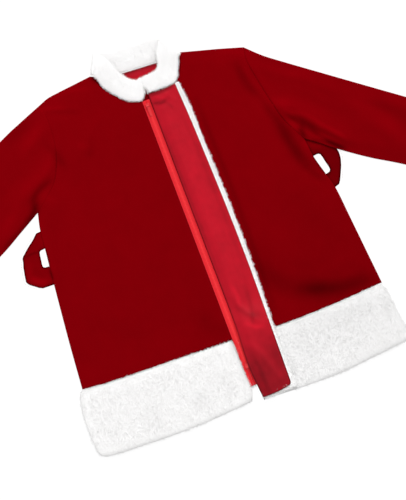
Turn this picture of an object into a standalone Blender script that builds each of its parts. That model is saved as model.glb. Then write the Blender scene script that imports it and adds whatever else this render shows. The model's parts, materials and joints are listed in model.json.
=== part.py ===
"""Santa suit jacket laid flat: velvet body and sleeves, white fur collar and hem, zip with an open flap.

Metres, +Z up. +X runs along the hem and +Y from the hem to the collar. The jacket lies on its back.
Seam tables are in millimetres from the top of the zip; everything is centred on the floor at the end.
"""

import math

import bpy
import numpy as np

MM = 0.001

# Thicknesses and clearances
GAP = 0.3 * MM
LAID_ON = 0.6 * MM
HEM_SEAM_GAP = 0.7 * MM
VELVET = 2.0 * MM
SATIN = 1.2 * MM
BACK_TOP = VELVET
FUR_BACK_HEM = 8.0 * MM
FUR_FRONT_HEM = 11.0 * MM
FUR_UNDER_FLAP = 6.0 * MM
FUR_FLAP = 5.5 * MM
FUR_COLLAR = 8.0 * MM
FUR_EDGE = 5.0 * MM
STRAP = 3.0 * MM

# How the upper layer lies over the back
AIR = 2.6 * MM
EDGE_REACH = 34 * MM
HEM_SEAM_Y = -560 * MM
HEM_CLIMB = 75 * MM
UPPER_OVER_HEM = FUR_BACK_HEM + GAP
CLIMB_ONTO_ZIP = (-22 * MM, -11 * MM)
PRESSED_BY_FLAP = (103 * MM, 145 * MM)
FLAP_CLIMB_Y = (-500 * MM, -566 * MM)
FLAP_HINGE_SHARE = 0.25
FLAP_FULL_AT = 24 * MM

# Zip
ZIP_HALF = 9.0 * MM
ZIP_TOP_Y = 1.5 * MM
ZIP_FOOT_Y = -684 * MM
TAPE = 1.2 * MM
SLIDER_Y = -12 * MM
SLIDER_SIZE = (9.0 * MM, 11.0 * MM, 3.2 * MM)
EAR_SIZE = (1.3 * MM, 3.6 * MM, 4.2 * MM)
EAR_CENTRE_X = 3.3 * MM
EAR_ROOT = 0.5 * MM
PIN_RADIUS = 0.8 * MM
PIN_ABOVE_SLIDER = 2.4 * MM
PULL_BORE = 1.15 * MM
PULL_BARREL = 1.9 * MM
PULL_BARREL_LENGTH = 4.4 * MM
PULL_SIZE = (6.0 * MM, 21.0 * MM, 1.2 * MM)
PULL_NECK = 4.0 * MM
PULL_SLOPE = math.radians(10)
BOX_SIZE = (9.0 * MM, 10.0 * MM, 2.6 * MM)
BOX_PLACE = (0.8 * MM, -638 * MM)

# Colours from the photograph, as linear values
VELVET_RED = (0.21, 0.0, 0.003)
SATIN_RED = (0.52, 0.011, 0.026)
ZIP_RED = (0.85, 0.032, 0.042)
FUR_WHITE = (0.93, 0.93, 0.93)

# Seam lines of the laid jacket. Each row is x, y: x along the hem, y up to the collar.
SHOULDER_RIGHT = ((-98.5, 96), (-136, 92), (-174, 88), (-204, 84), (-226, 76))
ARMHOLE_RIGHT = ((-226, 76), (-221, 40), (-224, -5), (-236, -55), (-262, -102), (-317, -149))
SIDE_RIGHT = ((-317, -149), (-326, -188), (-331, -235), (-340, -312), (-355, -453), (-364, -556))
HEM_SEAM_RIGHT = ((-364, -556), (-300, -562), (-157, -567), (-9.3, -571))
SHOULDER_LEFT = ((112, 70.5), (153, 63), (196, 51), (248, 35))
ARMHOLE_LEFT = ((248, 35), (243, 5), (250, -38), (262, -98), (276, -152), (303, -206))
SIDE_LEFT = ((303, -206), (308, -250), (320, -296), (330, -336), (337, -411), (351, -570))
HEM_SEAM_LEFT = ((9.3, -573), (96, -578), (223, -577), (351, -570))
FRONT_EDGE_RIGHT = ((-9.3, -571), (-9.3, -280), (-9.3, 0))
FRONT_EDGE_LEFT = ((9.3, -573), (9.3, -280), (9.3, 13))
NECK_RIGHT = ((-9.3, 0), (-44, 16), (-77.5, 55), (-90, 79), (-98.5, 96))
NECK_LEFT = ((9.3, 13), (45, 11.5), (82, 17), (98, 40), (112, 70.5))
NECK_BACK = ((-98.5, 96), (-60, 80.5), (0, 75), (62, 71), (95, 67), (112, 70.5))
HEM_SEAM_BACK = ((-364, -556), (-157, -567), (60, -577), (223, -577), (351, -570))

# Outer edges of the sleeves, from the armhole to the cuff
SLEEVE_TOP_RIGHT = ((-226, 76), (-283, 54), (-340, 30), (-545, -65), (-745, -185))
SLEEVE_UNDER_RIGHT = ((-317, -149), (-369, -178), (-430, -211), (-560, -268), (-674, -322))
SLEEVE_TOP_LEFT = ((248, 35), (280, 4), (313, -22), (389, -79), (550, -199), (735, -335))
SLEEVE_UNDER_LEFT = ((303, -206), (330, -226), (363, -253), (426, -298), (496, -342), (652, -448))

# Free edges of the hem bands
HEM_SIDE_RIGHT = ((-366, -557), (-379, -566), (-388, -605), (-390, -660), (-385, -705), (-366, -719))
HEM_FOOT_RIGHT = ((-366, -719), (-312, -724), (-171, -729), (-60, -724), (-14, -719))
HEM_FRONT_RIGHT = ((-8.5, -572), (-5.6, -600), (-4.8, -640), (-3.5, -695), (-14, -719))
HEM_SIDE_LEFT = ((352, -571), (361, -590), (366, -640), (374, -690), (372, -705), (360, -714))
HEM_FOOT_LEFT = ((11, -727), (105, -731), (189, -731), (264, -724), (360, -714))
HEM_FRONT_LEFT = ((10, -574), (10, -650), (11, -727))
HEM_FOOT_BACK = ((-360, -711), (-171, -705), (0, -682), (150, -707), (354, -708))
HEM_SIDE_BACK_RIGHT = ((-365, -557), (-376, -570), (-384, -620), (-383, -700), (-360, -711))
HEM_SIDE_BACK_LEFT = ((352, -571), (362, -640), (369, -700), (354, -708))

# The open flap, from its hinge beside the zip to its free edge
FLAP_HINGE = ((9.6, -717), (9.3, -500), (9.3, -280), (9.6, 12))
FLAP_TOP = ((9.6, 12), (45, 10.4), (72, 13))
FLAP_FREE = ((79, -711), (83, -583), (88.5, -428), (91, -290), (86.5, -180), (79, -80), (72, 13))
FLAP_FOOT = ((9.6, -717), (45, -716), (79, -711))
FLAP_FUR_FREE = ((94, -713), (96, -620), (102, -440), (105, -288), (101, -169), (92, -64), (84, 15))

# Facing inside the back neck
FACING_TOP = ((-84, 88), (-58, 79.8), (0, 74.7), (62, 70.9), (98, 64))
FACING_FOOT = ((-74, 62), (-40, 40), (5, 32), (50, 36), (88, 46))
FACING_SIDE_RIGHT = ((-74, 62), (-79, 75), (-84, 88))
FACING_SIDE_LEFT = ((88, 46), (93, 55), (98, 64))

# Belt loops: outline from the upper end on the side seam, round the outside, and back along the slot
LOOP_RIGHT = (
    (-327, -190), (-337, -191), (-350, -203), (-384, -229), (-391, -253), (-397, -285),
    (-391, -295), (-366, -312), (-358, -311), (-341, -313), (-335.5, -270), (-348, -269),
    (-343, -233), (-331.8, -232),
)
LOOP_LEFT = (
    (304.6, -208), (330, -214), (351, -230), (362, -247), (365, -262), (363, -280), (355, -301),
    (345, -322), (340, -329), (331.5, -333), (321.4, -297), (331.5, -294), (322, -251), (310, -251),
)

# Where the right-hand sleeve of the photograph lies over a belt loop: x, y, level reach, full reach, height
SLEEVE_OVER_LOOP = (333, -226, 40, 64, 3.6)

# Largest folds of the upper layer. Columns: start x, y; middle x, y; end x, y; half width; height.
# A negative height is a trough. Each fades towards both of its ends by FOLD_END_FADE.
FOLD_END_FADE = 0.6
FOLDS = (
    (223, -22, 240, -77, 256, -124, 15, -2.0),
    (243, 15, 254, -50, 270, -116, 12, 2.5),
    (256, -124, 272, -200, 318, -318, 19, -2.4),
    (278, -110, 330, -160, 398, -252, 17, 7.0),
    (292, -150, 315, -192, 348, -232, 11, -2.4),
    (290, -165, 296, -215, 312, -262, 12, 2.4),
    (-233, -30, -285, -72, -356, -110, 20, 5.5),
    (-262, -88, -290, -104, -330, -128, 12, -2.4),
    (-238, 26, -262, 12, -300, -12, 18, 3.2),
    (-93, 14, -150, -26, -205, -88, 28, 2.6),
    (-212, -20, -232, -60, -250, -118, 13, -2.0),
    (113, -413, 160, -500, 300, -545, 30, -2.2),
    (120, -360, 200, -462, 335, -500, 34, 2.6),
    (-395, -30, -450, -88, -520, -120, 24, 4.5),
    (-560, -95, -600, -150, -640, -250, 20, 3.6),
    (430, -170, 470, -215, 500, -280, 22, 4.2),
    (560, -260, 590, -300, 600, -370, 20, 3.6),
)

# The collar, section by section. Columns: bottom x, y, z; top x, y, z, all at the band's mid-thickness.
COLLAR_FRONT_RIGHT = (
    (5.5, 18.5, 8.8, 2.6, 50.5, 12.5),
    (-8.5, 2.5, 8.2, -2.5, 52, 12.6),
    (-24, 7, 8.2, -7, 55.5, 12.8),
    (-44, 17, 8.2, -17, 66, 13.5),
    (-77, 56, 8.4, -33, 85, 15),
    (-86, 79, 12, -44, 112, 16.8),
)
COLLAR_BACK = (
    (-72, 84, 4, -48, 139, 4),
    (-42, 78, 4, -26, 138.5, 4),
    (0, 75, 4, 8, 133.5, 4),
    (42, 72.5, 4, 36, 132, 4),
    (80, 70, 4, 54, 128.5, 4),
)
COLLAR_FRONT_LEFT = (
    (97, 46, 12, 55, 95, 16.8),
    (82, 18, 8.4, 50, 74, 14.5),
    (62, 12.8, 8.2, 42, 58.5, 13.5),
    (36, 12.5, 8.2, 22, 56.5, 12.8),
    (10, 14.5, 8.2, 5.4, 50.8, 12.5),
)
# Fold axes of the collar: bottom x, y; top x, y
COLLAR_FOLD_RIGHT = (-88, 94, -60, 137)
COLLAR_FOLD_LEFT = (102, 66, 66, 120)
COLLAR_FOLD_RADIUS = 6.6 * MM
COLLAR_FOLD_TURNS = (25, 60, 90, 120, 155)
COLLAR_BACK_Z = 4 * MM
COLLAR_END_RUN = 0.06
COLLAR_END_FULLNESS = 0.6
# Outline of the collar's section. Columns: share of its height, share of half its thickness.
COLLAR_RING = (
    (0, 0), (0.05, 0.75), (0.14, 1), (0.5, 1), (0.86, 1), (0.95, 0.75),
    (1, 0), (0.95, -0.75), (0.86, -1), (0.5, -1), (0.14, -1), (0.05, -0.75),
)


def clear_scene():
    for item in list(bpy.data.objects):
        bpy.data.objects.remove(item, do_unlink=True)


def material(name, colour, roughness, metallic=0.0):
    made = bpy.data.materials.new(name)
    made.use_nodes = True
    shader = made.node_tree.nodes["Principled BSDF"]
    shader.inputs["Base Color"].default_value = (*colour, 1.0)
    shader.inputs["Roughness"].default_value = roughness
    shader.inputs["Metallic"].default_value = metallic
    return made


def smooth_step(low, high, value):
    share = np.clip((value - low) / (high - low), 0.0, 1.0)
    return share * share * (3.0 - 2.0 * share)


def curve_points(table, shares):
    """Points at these shares of the length of a smooth curve through the table's rows, in metres."""
    corners = np.array(table, float) * MM
    padded = np.vstack([2 * corners[0] - corners[1], corners, 2 * corners[-1] - corners[-2]])
    along = np.linspace(0.0, 1.0, 13)[:-1, None]
    fine = []
    for before, start, end, after in zip(padded, padded[1:], padded[2:], padded[3:]):
        fine.append(0.5 * (2 * start + (end - before) * along
                           + (2 * before - 5 * start + 4 * end - after) * along ** 2
                           + (3 * start - before - 3 * end + after) * along ** 3))
    fine = np.vstack([*fine, corners[-1:]])
    reached = np.concatenate([[0.0], np.cumsum(np.linalg.norm(np.diff(fine, axis=0), axis=1))])
    wanted = np.asarray(shares) * reached[-1]
    return np.stack([np.interp(wanted, reached, fine[:, k]) for k in range(corners.shape[1])], axis=1)


def seam(table, count):
    return curve_points(table, np.linspace(0.0, 1.0, count))


def joined(first, second):
    """Two lines that share a corner, as one."""
    return np.vstack([first, second[1:]])


def moved_out(line, distance):
    """The line moved sideways, to the left of its direction for a positive distance."""
    along = np.gradient(line, axis=0)
    along /= np.linalg.norm(along, axis=1)[:, None]
    return line + distance * np.stack([-along[:, 1], along[:, 0]], axis=1)


def patch(low, high, first, last, across=None, up=None):
    """Grid of points between four edge lines: low and high run across, first and last run up."""
    across = np.linspace(0.0, 1.0, len(low)) if across is None else across
    up = np.linspace(0.0, 1.0, len(first)) if up is None else up
    s = across[None, :, None]
    t = up[:, None, None]
    between = (1 - t) * low[None] + t * high[None] + (1 - s) * first[:, None] + s * last[:, None]
    corners = ((1 - t) * ((1 - s) * low[0] + s * low[-1]) + t * ((1 - s) * high[0] + s * high[-1]))
    return between - corners


def edge_shares(length, middle, radius=FUR_EDGE):
    """Shares of a length with close steps over the rounded stretch at each end."""
    near = np.array([0.0, 0.25, 1.0]) * radius / length
    return np.concatenate([near, np.linspace(0.0, 1.0, middle + 2)[1:-1] * (1 - 2 * near[-1]) + near[-1],
                           1.0 - near[::-1]])


def rounding(shares, length, radius=FUR_EDGE):
    """How much of its full half thickness a rounded slab has at each share of its length."""
    inward = np.clip(np.minimum(shares, 1.0 - shares) * length / radius, 0.0, 1.0)
    return np.sqrt(np.clip(1.0 - (1.0 - inward) ** 2, 0.0, 1.0))


def distance_to_line(points, line):
    """Distance of each point to a polyline, and how far along the line its nearest place is."""
    best = np.full(points.shape[:-1], 1e9)
    where = np.zeros(points.shape[:-1])
    for index, (start, end) in enumerate(zip(line, line[1:])):
        run = end - start
        share = np.clip(((points - start) @ run) / (run @ run), 0.0, 1.0)
        found = np.linalg.norm(points - start - share[..., None] * run, axis=-1)
        nearer = found < best
        best = np.where(nearer, found, best)
        where = np.where(nearer, (index + share) / (len(line) - 1), where)
    return best, where


def silhouette():
    """The folded and seamed outer edges, where the upper layer comes down to the back."""
    tables = (SHOULDER_RIGHT, SIDE_RIGHT, SLEEVE_TOP_RIGHT, SLEEVE_UNDER_RIGHT,
              SHOULDER_LEFT, SIDE_LEFT, SLEEVE_TOP_LEFT, SLEEVE_UNDER_LEFT)
    return [seam(table, 16) for table in tables]


OUTER_EDGES = silhouette()
SLEEVE_WIDTH = 150 * MM
ROUND_IN = np.array([0.0, 0.66, 1.0])
SLEEVE_FOLD = BACK_TOP + GAP / 2
SLEEVE_SHARES = edge_shares(SLEEVE_WIDTH, 8, SLEEVE_FOLD)


def fold_relief(points):
    total = np.zeros(points.shape[:-1])
    for x0, y0, x1, y1, x2, y2, half_width, height in FOLDS:
        line = seam(((x0, y0), (x1, y1), (x2, y2)), 9)
        away, along = distance_to_line(points, line)
        fade = 1.0 - FOLD_END_FADE * (2.0 * along - 1.0) ** 4
        total += height * MM * fade * np.exp(-((away / (half_width * MM)) ** 2))
    return total


def sleeve_floor(points):
    """What the sleeves lie on: the floor, and one belt loop."""
    x, y, level, reach, height = (value * MM for value in SLEEVE_OVER_LOOP)
    away = np.linalg.norm(points - (x, y), axis=-1)
    return height * (1.0 - smooth_step(level, reach, away))


def upper_base(points):
    """Underside of the upper layer at these places."""
    away = np.min([distance_to_line(points, line)[0] for line in OUTER_EDGES], axis=0)
    lying = BACK_TOP + GAP + np.maximum((AIR + fold_relief(points)) * smooth_step(0, EDGE_REACH, away), 0.0)
    hem = smooth_step(HEM_SEAM_Y + HEM_CLIMB, HEM_SEAM_Y, points[..., 1])
    lying = lying + (np.maximum(UPPER_OVER_HEM, lying) - lying) * hem
    return np.maximum(lying, sleeve_floor(points) + BACK_TOP + GAP)


def on_floor(points):
    return np.zeros(points.shape[:-1])


def over_back_hem(points):
    """Underside of the front hem fur, which also lies over the edge of the zip."""
    over_zip = smooth_step(*CLIMB_ONTO_ZIP, points[..., 0]) * (points[..., 0] < 0)
    return UPPER_OVER_HEM + (TAPE + GAP) * over_zip


def front_hem_top(points):
    """Upper side of the front hem fur, which the flap presses down."""
    pressed = 1.0 - smooth_step(*PRESSED_BY_FLAP, points[..., 0])
    under_flap = pressed * (points[..., 0] > 0)
    thickness = FUR_FRONT_HEM + (FUR_UNDER_FLAP - FUR_FRONT_HEM) * under_flap
    return UPPER_OVER_HEM + thickness


def flap_base(points):
    """Underside of the open flap: over the front, then over the hem fur."""
    on_front = upper_base(points) + VELVET + LAID_ON
    on_hem = UPPER_OVER_HEM + FUR_UNDER_FLAP + GAP
    climb = smooth_step(*FLAP_CLIMB_Y, points[..., 1])
    return on_front + (np.maximum(on_hem, on_front) - on_front) * climb


def flap_fur_top(points):
    """Upper side of the flap's fur, thin beside the zip and full towards its free edge."""
    away = points[..., 0] - ZIP_HALF
    return flap_base(points) + FUR_FLAP * (FLAP_HINGE_SHARE
                                           + (1 - FLAP_HINGE_SHARE) * smooth_step(0, FLAP_FULL_AT, away))


def add_object(name, vertices, faces, finish):
    mesh = bpy.data.meshes.new(name)
    mesh.from_pydata([tuple(v) for v in vertices], [], faces)
    mesh.materials.append(finish)
    mesh.validate()
    made = bpy.data.objects.new(name, mesh)
    PARTS.objects.link(made)
    mesh.shade_smooth()
    return made


def grid_faces(rows, cols):
    return [(r * cols + c, r * cols + c + 1, (r + 1) * cols + c + 1, (r + 1) * cols + c)
            for r in range(rows - 1) for c in range(cols - 1)]


def cut_cloth(name, grid, underside, thickness, finish):
    """A flat pattern piece, given its thickness upwards and then laid at the underside's heights."""
    rows, cols = grid.shape[:2]
    flat = np.dstack([grid, np.zeros((rows, cols))]).reshape(-1, 3)
    made = add_object(name, flat, grid_faces(rows, cols), finish)
    if made.data.polygons[0].normal.z < 0:
        made.data.flip_normals()
    wall = made.modifiers.new("Wall", "SOLIDIFY")
    wall.thickness = thickness
    wall.offset = 1.0
    wall.use_rim = True
    solid = bpy.data.meshes.new_from_object(made.evaluated_get(bpy.context.evaluated_depsgraph_get()))
    made.modifiers.remove(wall)
    made.data = solid
    places = np.array([v.co[:] for v in solid.vertices])
    places[:, 2] += underside(places[:, :2])
    solid.vertices.foreach_set("co", places.ravel())
    solid.update()
    return made


def closed_faces(rows, cols):
    """Faces of two stacked grids with a shared outer boundary: the lower grid's inner points come last."""
    upper = np.arange(rows * cols).reshape(rows, cols)
    lower = upper.copy()
    lower[1:-1, 1:-1] = rows * cols + np.arange((rows - 2) * (cols - 2)).reshape(rows - 2, cols - 2)
    faces = []
    for r in range(rows - 1):
        for c in range(cols - 1):
            faces.append((upper[r, c], upper[r, c + 1], upper[r + 1, c + 1], upper[r + 1, c]))
            faces.append((lower[r, c], lower[r + 1, c], lower[r + 1, c + 1], lower[r, c + 1]))
    return [tuple(int(i) for i in face) for face in faces]


def fur_slab(name, grid, fullness, underside, upper_side, finish):
    """A soft slab with rounded edges between two heights."""
    rows, cols = grid.shape[:2]
    low, high = underside(grid), upper_side(grid)
    middle, half = (low + high) / 2, (high - low) / 2 * fullness
    top = np.dstack([grid, middle + half])
    bottom = np.dstack([grid, middle - half])[1:-1, 1:-1]
    vertices = np.vstack([top.reshape(-1, 3), bottom.reshape(-1, 3)])
    made = add_object(name, vertices, closed_faces(rows, cols), finish)
    face_outward(made)
    return made


def face_outward(made):
    """Turns the faces round where the mesh is inside out."""
    mesh = made.data
    mesh.calc_loop_triangles()
    places = np.array([v.co[:] for v in mesh.vertices])
    corners = places[np.array([tri.vertices[:] for tri in mesh.loop_triangles])]
    if np.einsum("ij,ij->i", corners[:, 0], np.cross(corners[:, 1], corners[:, 2])).sum() < 0:
        mesh.flip_normals()


def ring_loft(name, rings, finish):
    """Loft through closed rings of equal counts, filled at both ends."""
    rings = np.asarray(rings)
    count, around = rings.shape[:2]
    faces = [(r * around + c, r * around + (c + 1) % around,
              (r + 1) * around + (c + 1) % around, (r + 1) * around + c)
             for r in range(count - 1) for c in range(around)]
    faces += [tuple(range(around))[::-1], tuple((count - 1) * around + c for c in range(around))]
    made = add_object(name, rings.reshape(-1, 3), faces, finish)
    face_outward(made)
    return made


def sleeve(name, top_edge, under_edge, armhole, side, finish):
    """A flattened tube with open ends: outer rings, then inner rings, joined at both ends."""
    along = np.concatenate([np.linspace(0, 0.45, 12)[:-1], np.linspace(0.45, 1, 9)])
    upper_line, under_line = curve_points(top_edge, along), curve_points(under_edge, along)
    cuff_line = upper_line[-1] + SLEEVE_SHARES[:, None] * (under_line[-1] - upper_line[-1])
    armhole_line = curve_points(armhole, SLEEVE_SHARES)
    outer = patch(armhole_line, cuff_line, upper_line, under_line, SLEEVE_SHARES, along)
    outer += (1 - along)[:, None, None] * (moved_out(armhole_line, side * GAP) - armhole_line)[None]
    inset = VELVET / np.linalg.norm(outer[:, 0] - outer[:, -1], axis=1)
    inner = np.empty_like(outer)
    for row, share in enumerate(inset):
        places = np.clip(SLEEVE_SHARES, share, 1 - share)
        for axis in (0, 1):
            inner[row, :, axis] = np.interp(places, SLEEVE_SHARES, outer[row, :, axis])
    rounded = rounding(SLEEVE_SHARES, SLEEVE_WIDTH, SLEEVE_FOLD)
    square = np.where((SLEEVE_SHARES > 0) & (SLEEVE_SHARES < 1), 1.0, 0.0)
    loops = []
    for grid, low, high, share in (
        (outer, sleeve_floor(outer), upper_base(outer) + VELVET, rounded),
        (inner, sleeve_floor(inner) + VELVET, upper_base(inner), square),
    ):
        middle, half = (low + high) / 2, (high - low) / 2 * share[None, :]
        top = np.dstack([grid, middle + half])
        bottom = np.dstack([grid, middle - half])[:, -2:0:-1]
        loops.append(np.concatenate([top, bottom], axis=1))
    rings = np.concatenate([loops[0], loops[1][::-1]])
    count, around = rings.shape[:2]
    faces = [(r * around + c, r * around + (c + 1) % around,
              (r + 1) % count * around + (c + 1) % around, (r + 1) % count * around + c)
             for r in range(count) for c in range(around)]
    made = add_object(name, rings.reshape(-1, 3), faces, finish)
    face_outward(made)
    return made


def body_panels(velvet):
    across, below, neck = 14, 12, 8
    armhole = len(SLEEVE_SHARES)
    front_edge = below + armhole - neck
    for name, hem, shoulder, edge, neck_line, side, armhole_line in (
        ("front_right", HEM_SEAM_RIGHT[::-1], SHOULDER_RIGHT, FRONT_EDGE_RIGHT, NECK_RIGHT,
         SIDE_RIGHT, ARMHOLE_RIGHT),
        ("front_left", HEM_SEAM_LEFT, SHOULDER_LEFT, FRONT_EDGE_LEFT, NECK_LEFT,
         SIDE_LEFT, ARMHOLE_LEFT),
    ):
        grid = patch(seam(hem, across), seam(shoulder, across),
                     joined(seam(edge, front_edge), seam(neck_line, neck)),
                     joined(seam(side[::-1], below), curve_points(armhole_line, SLEEVE_SHARES)[::-1]))
        cut_cloth(name, grid, upper_base, VELVET, velvet)
    back_top = joined(joined(seam(SHOULDER_RIGHT[::-1], 5), seam(NECK_BACK, 8)), seam(SHOULDER_LEFT, 5))
    back = patch(seam(HEM_SEAM_BACK, len(back_top)), back_top,
                 joined(seam(SIDE_RIGHT[::-1], 8), curve_points(ARMHOLE_RIGHT, SLEEVE_SHARES)[::-1]),
                 joined(seam(SIDE_LEFT[::-1], 8), curve_points(ARMHOLE_LEFT, SLEEVE_SHARES)[::-1]))
    cut_cloth("back", back, on_floor, VELVET, velvet)


def hem_band(name, seam_line, foot, first, last, underside, upper_side, cols, fur):
    """A band of fur between the velvet's seam line and its own free foot."""
    width = np.linalg.norm(np.subtract(foot[0], foot[-1])) * MM
    height = np.linalg.norm(np.subtract(first[0], first[-1])) * MM
    across, down = edge_shares(width, cols), edge_shares(height, 5)
    grid = patch(curve_points(seam_line, across), curve_points(foot, across),
                 curve_points(first, down), curve_points(last, down), across, down)
    grid[0, :, 1] -= HEM_SEAM_GAP
    fullness = rounding(down, height)[:, None] * rounding(across, width)[None, :]
    fur_slab(name, grid, fullness, underside, upper_side, fur)


def hem_bands(fur):
    hem_band("hem_band_back", HEM_SEAM_BACK, HEM_FOOT_BACK, HEM_SIDE_BACK_RIGHT, HEM_SIDE_BACK_LEFT,
             on_floor, lambda points: on_floor(points) + FUR_BACK_HEM, 9, fur)
    hem_band("hem_band_front_right", HEM_SEAM_RIGHT, HEM_FOOT_RIGHT, HEM_SIDE_RIGHT, HEM_FRONT_RIGHT,
             over_back_hem, front_hem_top, 9, fur)
    hem_band("hem_band_front_left", HEM_SEAM_LEFT, HEM_FOOT_LEFT, HEM_FRONT_LEFT, HEM_SIDE_LEFT,
             over_back_hem, front_hem_top, 11, fur)


def flap(fur, satin):
    """The lining's grid, and the fur's: the same points with a rounded margin all round."""
    close = np.array([0.0, 1.0, 4.0]) * MM
    width, length = 72 * MM, 725 * MM
    across = np.concatenate([close / width, (0.22, 0.42, 0.62, 0.82, 1.0)])
    up = np.concatenate([np.linspace(0.0, 1 - 8 * MM / length, 20), 1 - close[::-1] / length])
    lining = patch(curve_points(FLAP_FOOT, across), curve_points(FLAP_TOP, across),
                   curve_points(FLAP_HINGE, up), curve_points(FLAP_FREE, up), across, up)
    cut_cloth("flap_lining", lining, lambda points: flap_fur_top(points) + GAP, SATIN, satin)
    free = curve_points(FLAP_FUR_FREE, up)[:, None]
    inward = lining[:, -1:] - free
    inward /= np.linalg.norm(inward, axis=2)[..., None]
    pile = np.concatenate([lining, free + inward * close[::-1, None, None].reshape(1, 3, 1)], axis=1)
    foot = pile[:1] + np.array([0, -1.0]) * np.array([8.0, 7.0, 4.0])[:, None, None] * MM
    pile = np.concatenate([foot, pile])
    pile[:, 0, 0] += GAP
    pile[-1, :, 1] -= 2 * GAP
    full_across = np.concatenate([ROUND_IN, np.ones(pile.shape[1] - 6), ROUND_IN[::-1]])
    full_up = np.concatenate([ROUND_IN, np.ones(pile.shape[0] - 6), ROUND_IN[::-1]])
    fur_slab("flap_fur", pile, full_up[:, None] * full_across[None, :], flap_base, flap_fur_top, fur)


def neck_facing(satin):
    across, up = np.linspace(0, 1, 8), np.linspace(0, 1, 4)
    grid = patch(curve_points(FACING_FOOT, across), curve_points(FACING_TOP, across),
                 curve_points(FACING_SIDE_RIGHT, up), curve_points(FACING_SIDE_LEFT, up))
    cut_cloth("back_neck_facing", grid, lambda points: on_floor(points) + BACK_TOP + GAP, SATIN, satin)


def collar_fold(axis, sense, turns):
    """Sections of the bend between the back of the collar and one of its fronts."""
    low, high = np.array(axis[:2]) * MM, np.array(axis[2:]) * MM
    along = (high - low) / np.linalg.norm(high - low)
    out = np.array([along[1], -along[0]]) * sense
    rows = []
    for turn in turns:
        angle = math.radians(turn)
        shift = out * COLLAR_FOLD_RADIUS * math.sin(angle)
        z = COLLAR_BACK_Z + COLLAR_FOLD_RADIUS * (1 + math.cos(angle))
        rows.append((*(low + shift), z, *(high + shift), z, turn if sense < 0 else 360 - turn))
    return rows


def collar_sections():
    """Rows of bottom point, top point and the turn of the outer face, from one front end to the other."""
    return np.array(
        [(*np.array(row) * MM, 0) for row in COLLAR_FRONT_RIGHT]
        + collar_fold(COLLAR_FOLD_RIGHT, -1, COLLAR_FOLD_TURNS)
        + [(*np.array(row) * MM, 180) for row in COLLAR_BACK]
        + collar_fold(COLLAR_FOLD_LEFT, 1, COLLAR_FOLD_TURNS[::-1])
        + [(*np.array(row) * MM, 360) for row in COLLAR_FRONT_LEFT])


def collar(fur):
    """The band lofted through its sections, with a thinner one a little past each front end."""
    rows = collar_sections()
    sections = np.vstack([rows[:1], rows, rows[-1:]])
    sections[0, :6] -= COLLAR_END_RUN * (rows[1, :6] - rows[0, :6])
    sections[-1, :6] += COLLAR_END_RUN * (rows[-1, :6] - rows[-2, :6])
    fullness = np.ones(len(sections))
    fullness[0] = fullness[-1] = COLLAR_END_FULLNESS
    height, depth = np.array(COLLAR_RING).T
    rings = []
    for row, full in zip(sections, fullness):
        bottom, top, turn = row[:3], row[3:6], math.radians(row[6])
        flat = np.cross(top - bottom, (0, 0, 1))
        flat = flat / np.linalg.norm(flat)
        outward = math.cos(turn) * np.array((0, 0, 1)) - math.sin(turn) * flat
        rings.append(bottom + height[:, None] * (top - bottom)
                     + (FUR_COLLAR / 2 * full * depth)[:, None] * outward)
    ring_loft("collar", rings, fur)


def belt_loop(name, outline, velvet):
    """A flat strap cut from its outline."""
    curve = bpy.data.curves.new(name, "CURVE")
    curve.dimensions = "2D"
    curve.fill_mode = "BOTH"
    curve.extrude = STRAP / 2
    spline = curve.splines.new("POLY")
    spline.points.add(len(outline) - 1)
    for point, (x, y) in zip(spline.points, outline):
        point.co = (x * MM, y * MM, 0.0, 1.0)
    spline.use_cyclic_u = True
    curve.materials.append(velvet)
    made = bpy.data.objects.new(name, curve)
    made.location.z = STRAP / 2
    PARTS.objects.link(made)


def zip_tapes(tape_red):
    up = np.linspace(ZIP_FOOT_Y, ZIP_TOP_Y, 30)
    for name, near, far in (("zip_tape_right", -ZIP_HALF, -GAP / 2), ("zip_tape_left", GAP / 2, ZIP_HALF)):
        grid = np.stack(np.meshgrid([near, far], up), axis=2)
        cut_cloth(name, grid, upper_base, TAPE, tape_red)


def box_mesh(name, size, centre, finish):
    bpy.ops.mesh.primitive_cube_add(size=1.0, location=centre)
    made = bpy.context.object
    made.name = made.data.name = name
    made.scale = size
    bpy.ops.object.transform_apply(location=False, rotation=False, scale=True)
    for owner in list(made.users_collection):
        owner.objects.unlink(made)
    PARTS.objects.link(made)
    made.data.materials.append(finish)
    return made


def cylinder_x(name, radius, length, centre, finish):
    bpy.ops.mesh.primitive_cylinder_add(vertices=20, radius=radius, depth=length, location=centre,
                                        rotation=(0, math.pi / 2, 0))
    bpy.ops.object.transform_apply(location=False, rotation=True, scale=False)
    made = bpy.context.object
    made.name = made.data.name = name
    for owner in list(made.users_collection):
        owner.objects.unlink(made)
    PARTS.objects.link(made)
    made.data.materials.append(finish)
    return made


def boolean(target, other, operation):
    """Joins the other shape to the target, or cuts it out, and carries it along with the target."""
    change = target.modifiers.new(operation.title(), "BOOLEAN")
    change.object = other
    change.operation = operation
    change.solver = "EXACT"
    other.hide_render = True
    other.display_type = "WIRE"
    PARTS.objects.unlink(other)
    CUTTERS.objects.link(other)
    bpy.context.view_layer.update()
    other.parent = target
    other.matrix_parent_inverse = target.matrix_world.inverted()


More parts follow.
